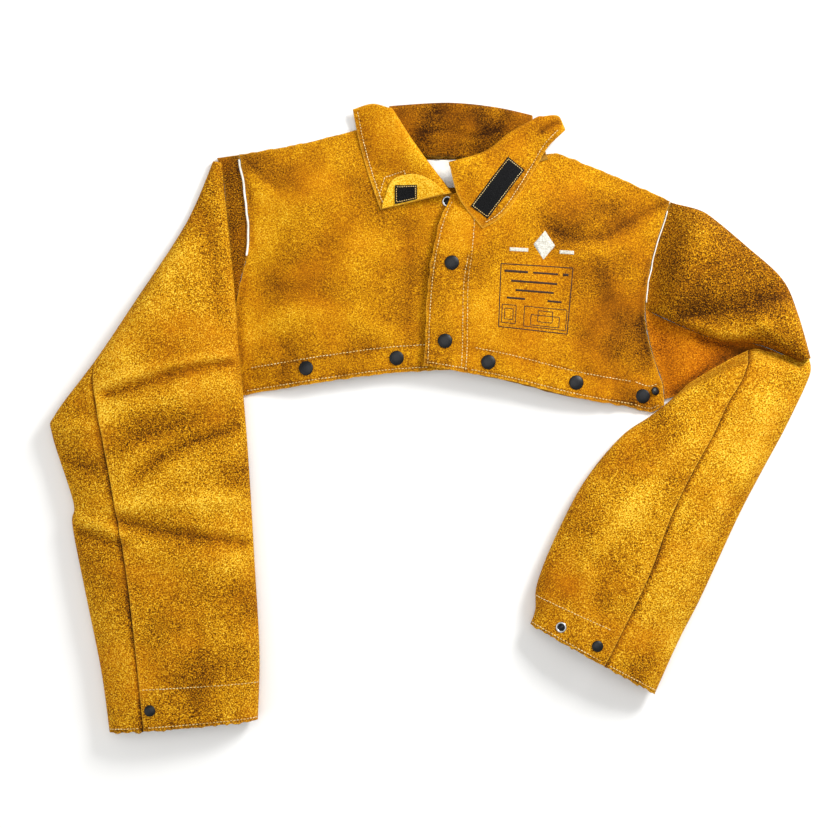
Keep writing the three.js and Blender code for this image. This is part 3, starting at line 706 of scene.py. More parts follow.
def rim_weight(rows, columns):
    """1 on a panel's rim, falling to 0 on the third ring of its grid."""
    ring = np.minimum.outer(np.minimum(np.arange(rows), np.arange(rows)[::-1]),
                            np.minimum(np.arange(columns), np.arange(columns)[::-1]))
    return np.array([1.0, 0.55, 0.12])[np.minimum(ring, 2)] * (ring < 3)


def add_panel(name, plan, height, size, body, nodes, paint=SUEDE, thick=LEATHER, shade=0.0,
              folds=(), rows=(), seed=1, ragged=0.5, lowest=0.0):
    """A leather panel on a plan, whose underside follows a height field. size is about (width, length)."""
    u, v = np.meshgrid(spaced(size[0]), spaced(size[1]))
    place = plan(u, v)
    rim = rim_weight(*u.shape)
    x = place[..., 0] + ragged * rim * ripple(place[..., 0], place[..., 1], 9, seed)
    y = place[..., 1] + ragged * rim * ripple(place[..., 0], place[..., 1], 9, seed + 1)
    z = height(x, y)
    tone_and_shading = shade + 0.1 * ripple(x, y, 46, seed + 2)
    # The folds and the stitch rows add painted light and shade to the random tone.
    for relief, light_and_shade in (folded(folds, x, y), puckered(rows, x, y, seed)):
        z, tone_and_shading = z + relief, tone_and_shading + light_and_shade
    z = np.maximum(z, lowest)
    below = np.stack([x, y, z + 0.2 * rim], -1)
    above = np.stack([x, y, z + thick * (1 - RIM_LOSS * rim)], -1)
    piece = closed_sheet(name, below, above, paint, tone_and_shading, 0.45 * rim)
    attach(piece, body, nodes)
    declare(below)


def sheet_top(height, folds=(), rows=(), seed=0, thick=LEATHER, lowest=0.0):
    """The upper face of such a panel, as a height field."""
    def top(x, y):
        x, y = np.asarray(x, float), np.asarray(y, float)
        return np.maximum(height(x, y) + folded(folds, x, y)[0] + puckered(rows, x, y, seed)[0], lowest) + thick

    return top


# ---- Body panels ----
EVEN = np.linspace(0, 1, 60)
WAVE = 0.5  # height of the small waves that all the layers of the body share
RIGHT_SEED, LEFT_SEED = 21, 31


def body_wave(x, y):
    return WAVE * ripple(x, y, 34, 11)


def with_wave(height):
    return lambda x, y: height(x, y) + body_wave(x, y)


def level(z):
    return lambda x, y: z + 0 * x


def inset_line(curve, x, y, start=0.0, end=1.0):
    return moved(stretch(curve, start, end), x, y)(EVEN)


HEM_ROWS_R = [inset_line(hem_r, 0, ROW_INSET, 0.02, 0.84), inset_line(hem_r, 0, HEM_BAND - 1, 0.04, 0.82)]
ROWS_L = [inset_line(hem_flap, 0, ROW_INSET, 0.22, 0.99),  # the hem
          inset_line(hem_flap, 0, HEM_BAND - 1, 0.24, 0.99),
          inset_line(hem_side_l, 0, ROW_INSET, 0.0, 0.8),  # its end beside the armhole
          inset_line(hem_side_l, 1, HEM_BAND - 1, 0.0, 0.75),
          inset_line(placket_edge, 4.6, 0, 0.04, 0.985),  # the placket
          through([(29, 76), (26, 34), (21, -6), (20, -80), (18, -107)])(EVEN),
          through([(22, 30), (16, -6), (14.5, -80), (13, -106)])(EVEN),
          inset_line(hem_flap, 0, 5, 0.02, 0.2)]
flap_plan = four_sided(joined(neck_l, shoulder_l), joined(hem_flap, hem_side_l, 0.88), placket_edge,
                       armhole_l)
right_plan = four_sided(joined(shoulder_r, neck_r), hem_r, armhole_r, centre_edge_r)
back_plan = four_sided(joined(joined(shoulder_r, back_neck), shoulder_l, 0.72), lambda t: back_hem(1 - t),
                       armhole_r, armhole_l)
right_top = sheet_top(with_wave(chest), RIGHT_BODY_FOLDS, HEM_ROWS_R, RIGHT_SEED, lowest=ON_BACK)
left_top = sheet_top(with_wave(left_front), LEFT_BODY_FOLDS, ROWS_L, LEFT_SEED, lowest=ON_BACK)

# The left front and what is sewn to it turn about the line from the neck to the side of the hem; bend() only
# bakes their transforms.
ACROSS_FOLD = bend()


def make_body():
    add_panel("back_leather", back_plan, level(0), (500, 290), "root", ["back_panel"], paint=INSIDE,
              ragged=0.3, seed=5)
    add_panel("right_front_leather", right_plan, with_wave(chest), (264, 250), "root", ["right_front_panel"],
              folds=RIGHT_BODY_FOLDS, rows=HEM_ROWS_R, seed=RIGHT_SEED, lowest=ON_BACK)
    add_panel("left_front_leather", flap_plan, with_wave(left_front), (272, 252), ACROSS_FOLD,
              ["left_front_panel", "left_side_panel"],
              folds=LEFT_BODY_FOLDS, rows=ROWS_L, seed=LEFT_SEED, lowest=ON_BACK)


def band(curve, start, end, inset=1.5):
    """The plan of a hem facing: a band above a stretch of the hem."""
    def plan(u, v):
        return curve(start + (end - start) * u) + np.stack([0 * v, inset + HEM_BAND * (1 - v)], -1)

    return plan


def make_facings():
    def under(height):
        return lambda x, y: height(x, y) - FACING_DROP + body_wave(x, y)

    def placket(u, v):
        return moved(stretch(placket_edge, 0.03, 0.985), 1, 0)(v) + np.stack([45 * u, 0 * v], -1)

    hem_back = through([(206, -143), (60, -116), (-31, -102), (-153, -118), (-206, -127)])
    back, front = "back_leather", "right_front_leather"
    for name, plan, height, size, body, under_it, folds in (
            ("right_hem_facing", band(hem_r, 0.2, 0.99), under(chest), (206, 32), "root", back,
             RIGHT_BODY_FOLDS),
            ("left_hem_facing", band(hem_flap, 0.22, 0.78), under(left_front), (146, 32), "left_front", back,
             LEFT_BODY_FOLDS),
            ("back_hem_facing", band(hem_back, 0, 1), level(EDGE_LIFT), (416, 32), "root", back, ()),
            ("placket_facing", placket, lambda x, y: chest(x, y) + FACING_LIFT + body_wave(x, y), (45, 205),
             "left_front", front, ())):
        add_panel(name + "_leather", plan, height, size, body, [name], INSIDE, folds=folds,
                  seed=len(name), lowest=ON_BACK)


def make_label():
    def plan(u, v):
        return np.stack([-42 + LABEL_SIZE[0] * u, 144 - LABEL_SIZE[1] * v], -1)

    add_panel("neck_label_cloth", plan, lambda x, y: EDGE_LIFT + 0.25 * ripple(x, y, 20, 3) + 0.3, LABEL_SIZE,
              "root", ["neck_label"], LABEL, LABEL_THICKNESS, ragged=0.1, seed=8)


# ---- Collar ----
roll_r = through([(-72, 204), (-50, 168), (-28, 136), (-1, 101)])
free_r = through([(-115, 203), (-107, 163), (-95, 120), (-82, 83)])
back_end_r = through([(-115, 203), (-92, 209), (-72, 204)])
front_end_r = through([(-82, 83), (-1, 101)])
roll_l = through([(-1, 134), (42, 147), (72, 170), (108, 193)])
free_l = through([(38, 60), (66, 79), (98, 128), (116, 158), (136, 178)])
front_end_l = through([(-1, 134), (10, 96), (38, 60)])
back_end_l = through([(108, 193), (128, 194), (136, 178)])
right_leaf_plan = four_sided(back_end_r, front_end_r, free_r, roll_r)
left_leaf_plan = four_sided(front_end_l, back_end_l, roll_l, free_l)
RIGHT_LEAF_FOLDS = [
    ([(-64, 190), (-46, 156), (-34, 140)], 0.8, 0.16, 9),
    ([(-98, 172), (-86, 128)], -0.8, -0.12, 10),
    ([(-60, 142), (-36, 120)], -0.8, -0.3, 10),
    ([(-100, 110), (-86, 88)], -0.6, -0.26, 9),
]
LEFT_LEAF_FOLDS = [
    ([(14, 138), (6, 112)], 0.8, 0.2, 8),
    ([(54, 150), (88, 172)], -0.8, -0.18, 9),
    ([(88, 140), (104, 166)], 0.6, 0.14, 9),
    ([(36, 76), (30, 66)], 0.5, 0.14, 7),
    ([(108, 176), (122, 185), (130, 186)], -2.5, -0.9, 4),
    ([(112, 166), (130, 176), (136, 184)], 3.0, 0.5, 4),
]


def right_leaf(x, y):
    return chest(x, y) + EDGE_LIFT + leaf_lift(roll_r, x, y) + body_wave(x, y)


def left_leaf(x, y):
    return left_front(x, y) + EDGE_LIFT + leaf_lift(roll_l, x, y) + body_wave(x, y)


def leaf_row(free, inward, start, end):
    """A line beside a leaf's free edge."""
    line = stretch(free, start, end)(EVEN)
    step = np.gradient(line, axis=0)
    step /= np.linalg.norm(step, axis=1)[:, None]
    return line + inward * np.stack([-step[:, 1], step[:, 0]], -1)


LEAF_ROW_R = leaf_row(free_r, 5, 0.03, 0.97)
LEAF_ROW_L = leaf_row(free_l, 5, 0.04, 0.96)
TAB_BOX = np.array([(-84, 98), (-77, 121), (-54, 128), (-51, 119)], float)  # where the tab's end is fastened
LEAF_SEED = 60


def thickened(below, rim, loss, top_at):
    """The upper face of a bent sheet. top_at is a place on its grid where it faces up."""
    normal = np.cross(np.gradient(below, axis=1), np.gradient(below, axis=0))
    normal /= np.linalg.norm(normal, axis=-1)[..., None]
    if normal[top_at][2] < 0:
        normal = -normal
    return below + normal * (LEATHER * (1 - loss * rim))[..., None]


def roll_over(base, outward):
    """Places that carry a panel's edge round its roll: outward is the way the edge faces, in plan."""
    angles = np.linspace(0, math.radians(ROLL_TURN), 10)[1:]
    rolled = base[:, None, :] + outward[:, None, :] * (ROLL_RADIUS * np.sin(angles))[None, :, None]
    rolled[..., 2] -= ROLL_RADIUS * (1 - np.cos(angles))
    return rolled


def make_leaf(side, plan, height, rows, folds, roll_last, size, shade):
    """One leaf of the collar, with its roll at the neck carried over and down."""
    u, v = np.meshgrid(spaced(size[0]), spaced(size[1]))
    x, y = np.moveaxis(plan(u, v), -1, 0)
    rim = rim_weight(*u.shape)
    # The folds paint light and shade on the leaf: lighter on ridges, darker in creases.
    relief, light_and_shade = folded(folds, x, y)
    # Painted shade in the stitch groove, and painted light and shade on the pulls beside it.
    pulls, pucker_light_and_shade = puckered(rows, x, y, LEAF_SEED)
    tone_and_shading = shade + light_and_shade + pucker_light_and_shade + 0.1 * ripple(x, y, 40, 51)
    below = np.stack([x, y, height(x, y) + relief + pulls], -1)
    if not roll_last:
        below, tone_and_shading, rim = below[:, ::-1], tone_and_shading[:, ::-1], rim[:, ::-1]
    below, tone_and_shading, rim = below[:, :-2], tone_and_shading[:, :-2], rim[:, :-2].copy()
    rim[2:-2, -3:] = 0
    outward = below[:, -1, :2] - below[:, -4, :2]
    outward /= np.linalg.norm(outward, axis=1)[:, None]
    outward = np.concatenate([outward, np.zeros((len(outward), 1))], 1)
    curl = roll_over(below[:, -1], outward)
    below = np.concatenate([below, curl], 1)
    # The curl over the roll is painted a little lighter: a painted highlight along the roll.
    tone_and_shading = np.concatenate([tone_and_shading, np.repeat(tone_and_shading[:, -1:] + 0.06, curl.shape[1], 1)], 1)
    rim = np.concatenate([rim, np.repeat(rim[:, -1:], curl.shape[1], 1)], 1)
    above = thickened(below, rim, RIM_LOSS, (len(below) // 2, 5))
    piece = closed_sheet(f"{side}_collar_leather", below, above, SUEDE, tone_and_shading, 0.8 * rim)
    attach(piece, f"{side}_collar", [f"{side}_collar_leaf"])
    declare(below)


def make_stand(side, roll, neck, height, body):
    """The part of the collar under a leaf, from beside the roll down over the neck seam."""
    t = spaced(length_of(roll(EVEN)) - 8)
    line, foot = roll(0.04 + 0.9 * t), neck(t)
    depth = np.linspace(0, 1, 15)
    place = line[:, None, :] + (foot - line)[:, None, :] * (0.06 + 0.94 * depth)[None, :, None]
    x, y = place[..., 0], place[..., 1]
    z = height(x, y) + body_wave(x, y) + LEATHER + 0.5 + 0.4 * (1 - depth)[None, :]
    below = np.stack([x, y, z], -1)
    # The stand is painted darker all over: painted shade under the leaf.
    piece = closed_sheet(f"{side}_stand_leather", below, below + (0, 0, LEATHER), INSIDE, 0 * x - 0.25,
                         0.6 * rim_weight(*x.shape))
    attach(piece, body)
    declare(below)


def make_back_collar():
    """The stand and the fall behind the neck are one piece, rolled over at the top."""
    top = through([(-72, 201), (-4, 205), (52, 200), (98, 190)])
    stand_foot = through([(-40, 149), (-4, 146), (34, 145), (72, 152)])
    fall_foot = through([(-76, 162), (-30, 154), (34, 151.5), (96, 151.8)])
    crease = through([(-40, 176), (0, 179), (24, 172), (60, 180)])(EVEN)
    low = 0.15  # height of the fall, which lies on the table
    t = spaced(176, 2.4)
    u, v = np.meshgrid(t, spaced(54, 2.4))
    stand = stand_foot(u) + (top(u) - stand_foot(u)) * v[..., None]
    x, y = stand[..., 0], stand[..., 1] + 0.9 * (v < 0.02) * ripple(stand[..., 0], stand[..., 1], 7, 71)
    distance, _ = nearest(crease, x, y)
    z = EDGE_LIFT + 0.6 + 5.2 * smooth(148, 190, y) + 0.5 * ripple(x, y, 30, 72) - 1.3 * np.exp(
        -(distance / 4) ** 2)
    # Painted shade in the crease and at the foot of the stand, where it meets the neck.
    tone_and_shading = (-0.3 - 0.3 * np.exp(-(distance / 3.5) ** 2) + 0.16 * ripple(x, y, 26, 73)
            - 0.6 * (1 - smooth(0, 0.05, v)))
    angles = np.radians(np.linspace(0, 180, 11))[1:-1]
    roll = np.stack([np.repeat(x[-1:], len(angles), 0), y[-1:] + 5.0 * np.sin(angles)[:, None],
                     low + (z[-1:] - low) / 2 * (1 + np.cos(angles))[:, None]], -1)
    fall = top(t)[None] + (fall_foot(t) - top(t))[None] * np.linspace(0, 1, 16)[:, None, None]
    fall = np.concatenate([fall, np.full((*fall.shape[:2], 1), low)], -1)
    below = np.concatenate([np.stack([x, y, z], -1), roll, fall])
    # The roll is painted a little lighter: a painted highlight along it.
    tone_and_shading = np.concatenate([tone_and_shading, np.repeat(tone_and_shading[-1:] + 0.1, len(angles), 0), np.zeros(fall.shape[:2])])
    rim = rim_weight(*below.shape[:2])
    above = thickened(below, rim, 0.3, (4, 10))
    lift = max(0.0, 0.05 - float(above[..., 2].min()))
    below[..., 2] += lift
    above[..., 2] += lift
    piece = closed_sheet("back_collar_leather", below, above, SUEDE, tone_and_shading - 0.3, 0.3 * rim)
    attach(piece, "root", ["collar_stand", "collar_fall"])
    declare(below)


TAB_FOLD = [(-80, 84.1), (-6, 100.6)]
tab_plan = four_sided(through([(-79, 92), (-66, 119), (-37, 123), (-14, 110), (-7, 102.5)]),
                      through(TAB_FOLD), through([(-79, 92), TAB_FOLD[0]]), through([(-7, 102.5), TAB_FOLD[1]]))


def tab_height(x, y):
    """The throat tab lies on the right leaf and rises a little away from its fold."""
    fold = np.array(TAB_FOLD)
    step = (fold[1] - fold[0]) / np.hypot(*(fold[1] - fold[0]))
    off = (y - fold[0][1]) * step[0] - (x - fold[0][0]) * step[1]
    return right_leaf(x, y) + EDGE_LIFT + 1.5 * smooth(0, 36, off)


def make_tab():
    # The tab is painted lighter all over: painted light on its upward face.
    add_panel("throat_tab_leather", tab_plan, tab_height, (72, 26), "throat_tab", ["throat_tab"],
              shade=0.5, seed=81, ragged=0.3)


# ---- Hook and loop tape ----
LOOP_CENTRE = (56, 108)
LOOP_TURN = math.radians(53)
FIBRE_RADIUS = 0.16
FIBRE_REACH = 0.45
FIBRE_HEIGHT = 0.55
PILE_MARGIN = 2.6


def hook_plan(u, v):
    return np.stack([-65 + HOOK_SIZE[0] * u, 111 - 22 * (1 - 0.25 * u) * v], -1)


def hook_height(x, y):
    return tab_height(x, y) + EDGE_LIFT


def loop_plan(u, v):
    along, across = (u - 0.5) * LOOP_SIZE[0], (v - 0.5) * LOOP_SIZE[1]
    x = LOOP_CENTRE[0] + along * math.cos(LOOP_TURN) - across * math.sin(LOOP_TURN)
    y = LOOP_CENTRE[1] + along * math.sin(LOOP_TURN) + across * math.cos(LOOP_TURN)
    return np.stack([x, y], -1)


def loop_height(x, y):
    return left_leaf(x, y) + EDGE_LIFT


def add_pile(name, plan, height, size, pitch, curl, body, seed):
    """The standing hooks or loops of a tape: small bent fibres, thrown a little out of their rows."""
    dice = np.random.default_rng(seed)
    columns, rows = int(size[0] / pitch), int(size[1] / pitch)
    u, v = np.meshgrid((np.arange(columns) + 0.5) / columns, (np.arange(rows) + 0.5) / rows)
    keep = ((u * size[0] > PILE_MARGIN) & (u * size[0] < size[0] - PILE_MARGIN)
            & (v * size[1] > PILE_MARGIN) & (v * size[1] < size[1] - PILE_MARGIN))
    u, v = u[keep], v[keep]
    place = plan(u, v) + dice.uniform(-0.3, 0.3, (len(u), 2)) * pitch
    z = height(place[:, 0], place[:, 1]) + 0.7
    turns = dice.uniform(0, 2 * math.pi, len(u))
    bends = np.linspace(0, math.radians(curl), 5)
    vertices, faces = [], []
    for (x, y), foot, turn in zip(place, z, turns):
        heading = np.array([math.cos(turn), math.sin(turn), 0])
        aside = np.array([-heading[1], heading[0], 0]) * FIBRE_RADIUS
        start = len(vertices)
        for angle in bends:
            centre = (np.array([x, y, foot]) + heading * FIBRE_REACH * (1 - math.cos(angle))
                      + (0, 0, FIBRE_HEIGHT * math.sin(angle)))
            out = (heading * math.cos(angle) - (0, 0, math.sin(angle))) * FIBRE_RADIUS
            vertices += [centre + aside, centre + out, centre - aside]
        faces += ring_faces(len(bends), 3, start, True) + ring_ends(len(bends), 3, start, True)
    attach(new_piece(name, np.array(vertices), faces, TAPE), body)


def make_tapes():
    add_panel("hook_tape", hook_plan, hook_height, HOOK_SIZE, "throat_tab", ["hook_patch"],
              TAPE, TAPE_THICKNESS, ragged=0.15, seed=91)
    add_pile("hook_pile", hook_plan, hook_height, HOOK_SIZE, 1.15, 150, "throat_tab", 92)
    add_panel("loop_tape", loop_plan, loop_height, LOOP_SIZE, "left_collar", ["loop_strip"],
              TAPE, TAPE_THICKNESS, ragged=0.15, seed=93)
    add_pile("loop_pile", loop_plan, loop_height, LOOP_SIZE, 1.25, 175, "left_collar", 94)


# ---- Sleeves ----
WAIST = 0.4  # share of a sleeve's height at which it is widest
FLAT_SINE = 0.62  # how far round its underside a sleeve rests on the table
BELLY = 1.4


def section(angle, height):
    """A sleeve's section: the place across (0 inner, 1 outer) and the height at an angle round it."""
    waist = WAIST * height
    sine = np.sin(angle)
    top = waist + (height - waist) * np.maximum(sine, 0) ** 0.9
    under = waist * (1 - np.minimum(1, np.maximum(-sine, 0) / FLAT_SINE)) ** BELLY
    return 0.5 - 0.5 * np.cos(angle), np.where(sine > 0, top, under)


RIGHT_SLEEVE = {
    "outer": through([(-281, 142), (-313, 68), (-372, -24), (-417, -92), (-466, -158), (-470, -182),
                      (-445, -262), (-446, -290), (-430, -372), (-412, -461), (-402, -534)]),
    "inner": through([(-271, 140), (-263, 64), (-255, -12), (-250, -77), (-243, -148), (-237, -228),
                      (-231, -330), (-225, -440), (-227, -519)]),
    "height": lambda s: 12 + (SLEEVE_HEIGHT - 12) * smooth(0, 0.4, s),
    "seam": through([(-417, -77), (-420, -114), (-414, -153), (-407, -189), (-392, -271), (-378, -354),
                     (-361, -510), (-359, -540)]),
    "folds": RIGHT_SLEEVE_FOLDS,
}
LEFT_UPPER = {
    "outer": through([(270, 96), (302, 80), (352, 39), (393, 1), (411, -40), (425, -92)]),
    "inner": through([(239, -36), (270, -52), (320, -71), (366, -76), (414, -96)]),
    "height": lambda s: SLEEVE_HEIGHT - 4 + 0 * s,
    "folds": LEFT_UPPER_FOLDS,
    "sewn": (lambda across: armhole_l(0.53 - 0.525 * across) + (0.7, 0)),
}
LEFT_FORE = {
    "outer": through([(426, -94), (425, -114), (399, -169), (366, -230), (339, -282), (297, -373),
                      (270, -426), (242, -488)]),
    "inner": through([(262, -141), (236, -161), (202, -185), (160, -236), (126, -300), (103, -358),
                      (101, -388), (95, -406)]),
    "height": lambda s: SLEEVE_HEIGHT + 0 * s,
    "seam": through([(363, -110), (349, -138), (324, -162), (300, -196), (263, -267), (238, -333),
                     (224, -366), (189, -437), (174, -462)]),
    "folds": LEFT_FOREARM_FOLDS,
    "tuck": [(0, 0), (0.134, 12), (0.317, 21), (0.47, 27), (0.60, 31), (0.66, 31), (0.75, 22), (0.84, 14),
             (0.92, 7), (1, 4)],
}
TUCK_WAY = np.array([-0.2755, 0.961])  # square to the cut at the left elbow, towards the upper sleeve
TUCK_LEVEL = 12.0
SEWN_LEVEL = 2.2  # height of the left sleeve where it is sewn to the body


def sleeve_place(sleeve, angle, station, depth=0.0):
    """A place on a sleeve at a depth under its outer face, with its folds."""
    angle, station = np.broadcast_arrays(angle, station)
    inner, outer = sleeve["inner"](station), sleeve["outer"](station)
    width = np.hypot(*np.moveaxis(outer - inner, -1, 0))
    height = sleeve["height"](station)
    across, z = section(angle, height)
    next_across, next_z = section(angle + 0.01, height)
    run, rise = (next_across - across) * width, next_z - z
    size = np.hypot(run, rise) + 1e-9
    place = inner + (outer - inner) * (across + depth * rise / size / width)[..., None]
    z = np.maximum(z - depth * run / size, depth)
    x, y = place[..., 0], place[..., 1]
    relief, _ = folded(sleeve["folds"], x, y)
    upper = smooth(0.05, 0.6, np.sin(angle))
    z = z + upper * (relief + 0.8 * ripple(x, y, 38, 101) + 0.25 * ripple(x, y, 12, 102))
    if "sewn" in sleeve:
        start, end = sleeve["inner"](0.0), sleeve["outer"](0.0)
        pull = sleeve["sewn"](across) - (start + (end - start) * across[..., None])
        place = place + pull * (1 - smooth(0, 0.16, station))[..., None]
        low = np.where(np.sin(angle) > 0, SEWN_LEVEL + LEATHER - depth, LEATHER - depth)
        z = z + (np.minimum(low, z) - z) * (1 - smooth(0, 0.15, station)) ** 1.5
    if "tuck" in sleeve:
        known = np.array(sleeve["tuck"], float)
        reach = np.interp(across, known[:, 0], known[:, 1]) * smooth(-0.1, 0.25, np.sin(angle))
        place = place + TUCK_WAY * (reach * (1 - smooth(0, 0.25, station)))[..., None]
        z = z - (z - TUCK_LEVEL) * (1 - smooth(0, 0.045, station)) * (z > TUCK_LEVEL) * 0.95
    return np.concatenate([place, z[..., None]], -1)


def sleeve_face(sleeve, angle, station, turn, step):
    """Places on a sleeve with their normals, which are taken over a small turn and a small step."""
    here = sleeve_place(sleeve, angle, station)
    ahead = sleeve_place(sleeve, angle + turn, station)
    before = sleeve_place(sleeve, angle, station - step)
    normal = np.cross(ahead - here, before - here)
    normal /= np.linalg.norm(normal, axis=-1)[..., None]
    if normal.reshape(-1, 3)[normal.size // 6, 2] < 0:
        normal = -normal
    return here, normal


def sleeve_panel(name, sleeve, angles, size, nodes, body, shares=(0.0, 1.0), inset=0.0, paint=COARSE, shade=0.0,
                 seams=(0, 0), seed=111, cuff=False):
    """One panel of a sleeve between two angles. seams says which long edges lie over (1) or under (-1); an edge
    that lies under is painted darker, as shade beneath the edge over it.
    """
    u, v = np.meshgrid(spaced(size[0]), spaced(size[1]))
    station = shares[0] + (shares[1] - shares[0]) * v
    start, end = (limit(station) if callable(limit) else limit for limit in angles)
    angle = np.radians(start + (end - start) * u)
    above = sleeve_place(sleeve, angle, station, inset)
    below = sleeve_place(sleeve, angle, station, inset + LEATHER)
    x, y = above[..., 0].copy(), above[..., 1].copy()
    upper = smooth(0.05, 0.5, np.sin(angle))
    # The folds' light and shade is painted on the upper side of the sleeve.
    _, light_and_shade = folded(sleeve["folds"], x, y)
    tone_and_shading = shade + upper * light_and_shade + 0.12 * ripple(x, y, 46, seed)
    rim = rim_weight(*u.shape)
    edge = 0.4 * rim
    for side, share in ((seams[0], u), (seams[1], 1 - u)):
        lift = 0.8 * side * np.exp(-(share * size[0] / 3.2) ** 2) * (np.sin(angle) > 0.1)
        above[..., 2] += lift
        below[..., 2] += lift
        # Painted shade along an edge that lies under the next panel's edge.
        if side < 0:
            tone_and_shading = tone_and_shading - 0.75 * np.exp(-(share * size[0] / 2.6) ** 2)
            edge = edge * smooth(0, 0.02, share)
    if cuff:
        distance = (1 - v) * size[1]
        tone_and_shading = (tone_and_shading - 0.3 * np.exp(-((distance - 3) / 2.5) ** 2)
                + 0.12 * ripple(x, y, 9, seed + 1) * (distance < 12))
        fray = 1.1 * (distance < 0.3) * ripple(x, y, 5, seed + 3)
        above[..., 1] += fray
        below[..., 1] += fray
    above[..., 2] -= 0.45 * rim * upper
    piece = closed_sheet(name, below, above, paint, tone_and_shading, edge)
    attach(piece, body, nodes)
    declare(below)


RIGHT_ELBOW = bend()
LEFT_SHOULDER = bend()
LEFT_ELBOW = bend()


def seam_angle(sleeve, station):
    """The angle of a sleeve's long seam at a station; above its top it is hidden at the outer edge."""
    inner, outer = sleeve["inner"](station), sleeve["outer"](station)
    line = sleeve["seam"](EVEN)
    across = 0.7
    for _ in range(8):
        y = inner[..., 1] + (outer - inner)[..., 1] * across
        x = np.interp(-y, -line[:, 1], line[:, 0])
        across = np.clip((x - inner[..., 0]) / (outer - inner)[..., 0], 0.3, 0.999)
    return np.degrees(np.arccos(1 - 2 * across))


def top_angles(sleeve):
    return -WRAP_ANGLE, lambda station: seam_angle(sleeve, station)


def under_angles(sleeve):
    return (lambda station: seam_angle(sleeve, station) + 0.4), 360 - WRAP_ANGLE - 0.6


def make_sleeves():
    sleeve_panel("right_sleeve_top_leather", RIGHT_SLEEVE, top_angles(RIGHT_SLEEVE), (185, 670),
                 ["right_upper_sleeve_top", "right_forearm_top"], RIGHT_ELBOW, seams=(0, 1), cuff=True)
    sleeve_panel("right_sleeve_under_leather", RIGHT_SLEEVE, under_angles(RIGHT_SLEEVE), (230, 670),
                 ["right_upper_sleeve_under", "right_forearm_under"], RIGHT_ELBOW, seams=(-1, 0), seed=121,
                 cuff=True)
    sleeve_panel("left_upper_sleeve_leather", LEFT_UPPER, (-WRAP_ANGLE, 180), (190, 205),
                 ["left_upper_sleeve_top"], LEFT_SHOULDER, seed=131, shade=-0.42)
    sleeve_panel("left_upper_sleeve_underside", LEFT_UPPER, (181, 359 - WRAP_ANGLE), (120, 205),
                 ["left_upper_sleeve_under"], LEFT_SHOULDER, seed=141)
    sleeve_panel("left_forearm_top_leather", LEFT_FORE, top_angles(LEFT_FORE), (190, 425),
                 ["left_forearm_top"], LEFT_ELBOW, shade=-0.04, seams=(0, 1), seed=151, cuff=True)
    # The outer side of the forearm is painted lighter: painted light where it faces the lamps.
    sleeve_panel("left_forearm_under_leather", LEFT_FORE, under_angles(LEFT_FORE), (220, 425),
                 ["left_forearm_under"], LEFT_ELBOW, shade=0.12, seams=(-1, 0), seed=161, cuff=True)
    for side, sleeve, angles, width, seed in (("right", RIGHT_SLEEVE, (38, 116), 100, 171),
                                              ("left", LEFT_FORE, (38, 92), 80, 181)):
        sleeve_panel(f"{side}_cuff_facing_leather", sleeve, angles, (width, CUFF_BAND), [f"{side}_cuff_facing"],
                     f"{side}_forearm", (1 - CUFF_BAND / SLEEVE_RUN[side], 0.998), 2.2, INSIDE, seed=seed)


def underside_edge(sleeve, station, height):
    """Where a sleeve's underside has come down to a height beside its inner edge."""
    waist = WAIST * sleeve["height"](station)
    sine = FLAT_SINE * (1 - np.minimum(1, height / waist) ** (1 / BELLY))
    inner, outer = sleeve["inner"](station), sleeve["outer"](station)
    width = np.hypot(*np.moveaxis(outer - inner, -1, 0))
    across = 0.5 - 0.5 * np.sqrt(1 - sine * sine)
    return inner + (outer - inner) * (across - GAP / width)[..., None]


def make_right_head():
    """The leather between the right armhole and the sleeve, under the sleeve's inner edge. It is painted much
    darker, as the shadow that the sleeve casts on it.
    """
    armhole = moved(stretch(armhole_r, 0.0, 0.84), -0.5, 0)

    def head(u, v):
        inner = underside_edge(RIGHT_SLEEVE, 0.42 * v, 2 * LEATHER + GAP)
        inner = inner + ((-277, 146) - inner) * ((1 - smooth(0, 0.1, v)) ** 2)[..., None]
        return inner + (armhole(v) - inner) * u[..., None]

    add_panel("right_sleeve_head_leather", head, level(LEATHER), (26, 240),
              bend(), ["right_sleeve_head"],
              paint=COARSE, shade=-0.62, ragged=0.2, seed=191)


def make_gusset():
    """The leather under the left arm, between the body, the upper sleeve and the cut at the elbow."""
    lip = moved(stretch(LEFT_UPPER["inner"], 0.02, 0.98), 0, -1.2)
    side = moved(stretch(armhole_l, 0.53, 0.97), 0.75, 0)
    cut_start, cut_end = LEFT_FORE["inner"](0.0), LEFT_FORE["outer"](0.0)

    def elbow(t):
        return cut_start + (cut_end - cut_start) * 0.985 * np.asarray(t, float)[..., None] + (-0.6, 0.75)

    def front(t):
        return lip(1.0) + (elbow(1.0) - lip(1.0)) * np.asarray(t, float)[..., None]

    def top(t):
        return lip(t) + (side(0.0) - lip(0.0)) * (1 - np.asarray(t, float))[..., None]

    def bottom(t):
        return elbow(t) + (side(1.0) - elbow(0.0)) * ((1 - np.asarray(t, float)) ** 3)[..., None]

    def rise(x, y):
        return EDGE_LIFT + 0.15 * SLEEVE_HEIGHT * smooth(0, 50, x - BODY_HALF)

    add_panel("left_underarm_gusset_leather", four_sided(top, bottom, side, front), rise, (170, 90),
              bend(),
              ["left_underarm_gusset"], paint=WARM, shade=-0.1, folds=GUSSET_FOLDS, ragged=0.1, seed=201)


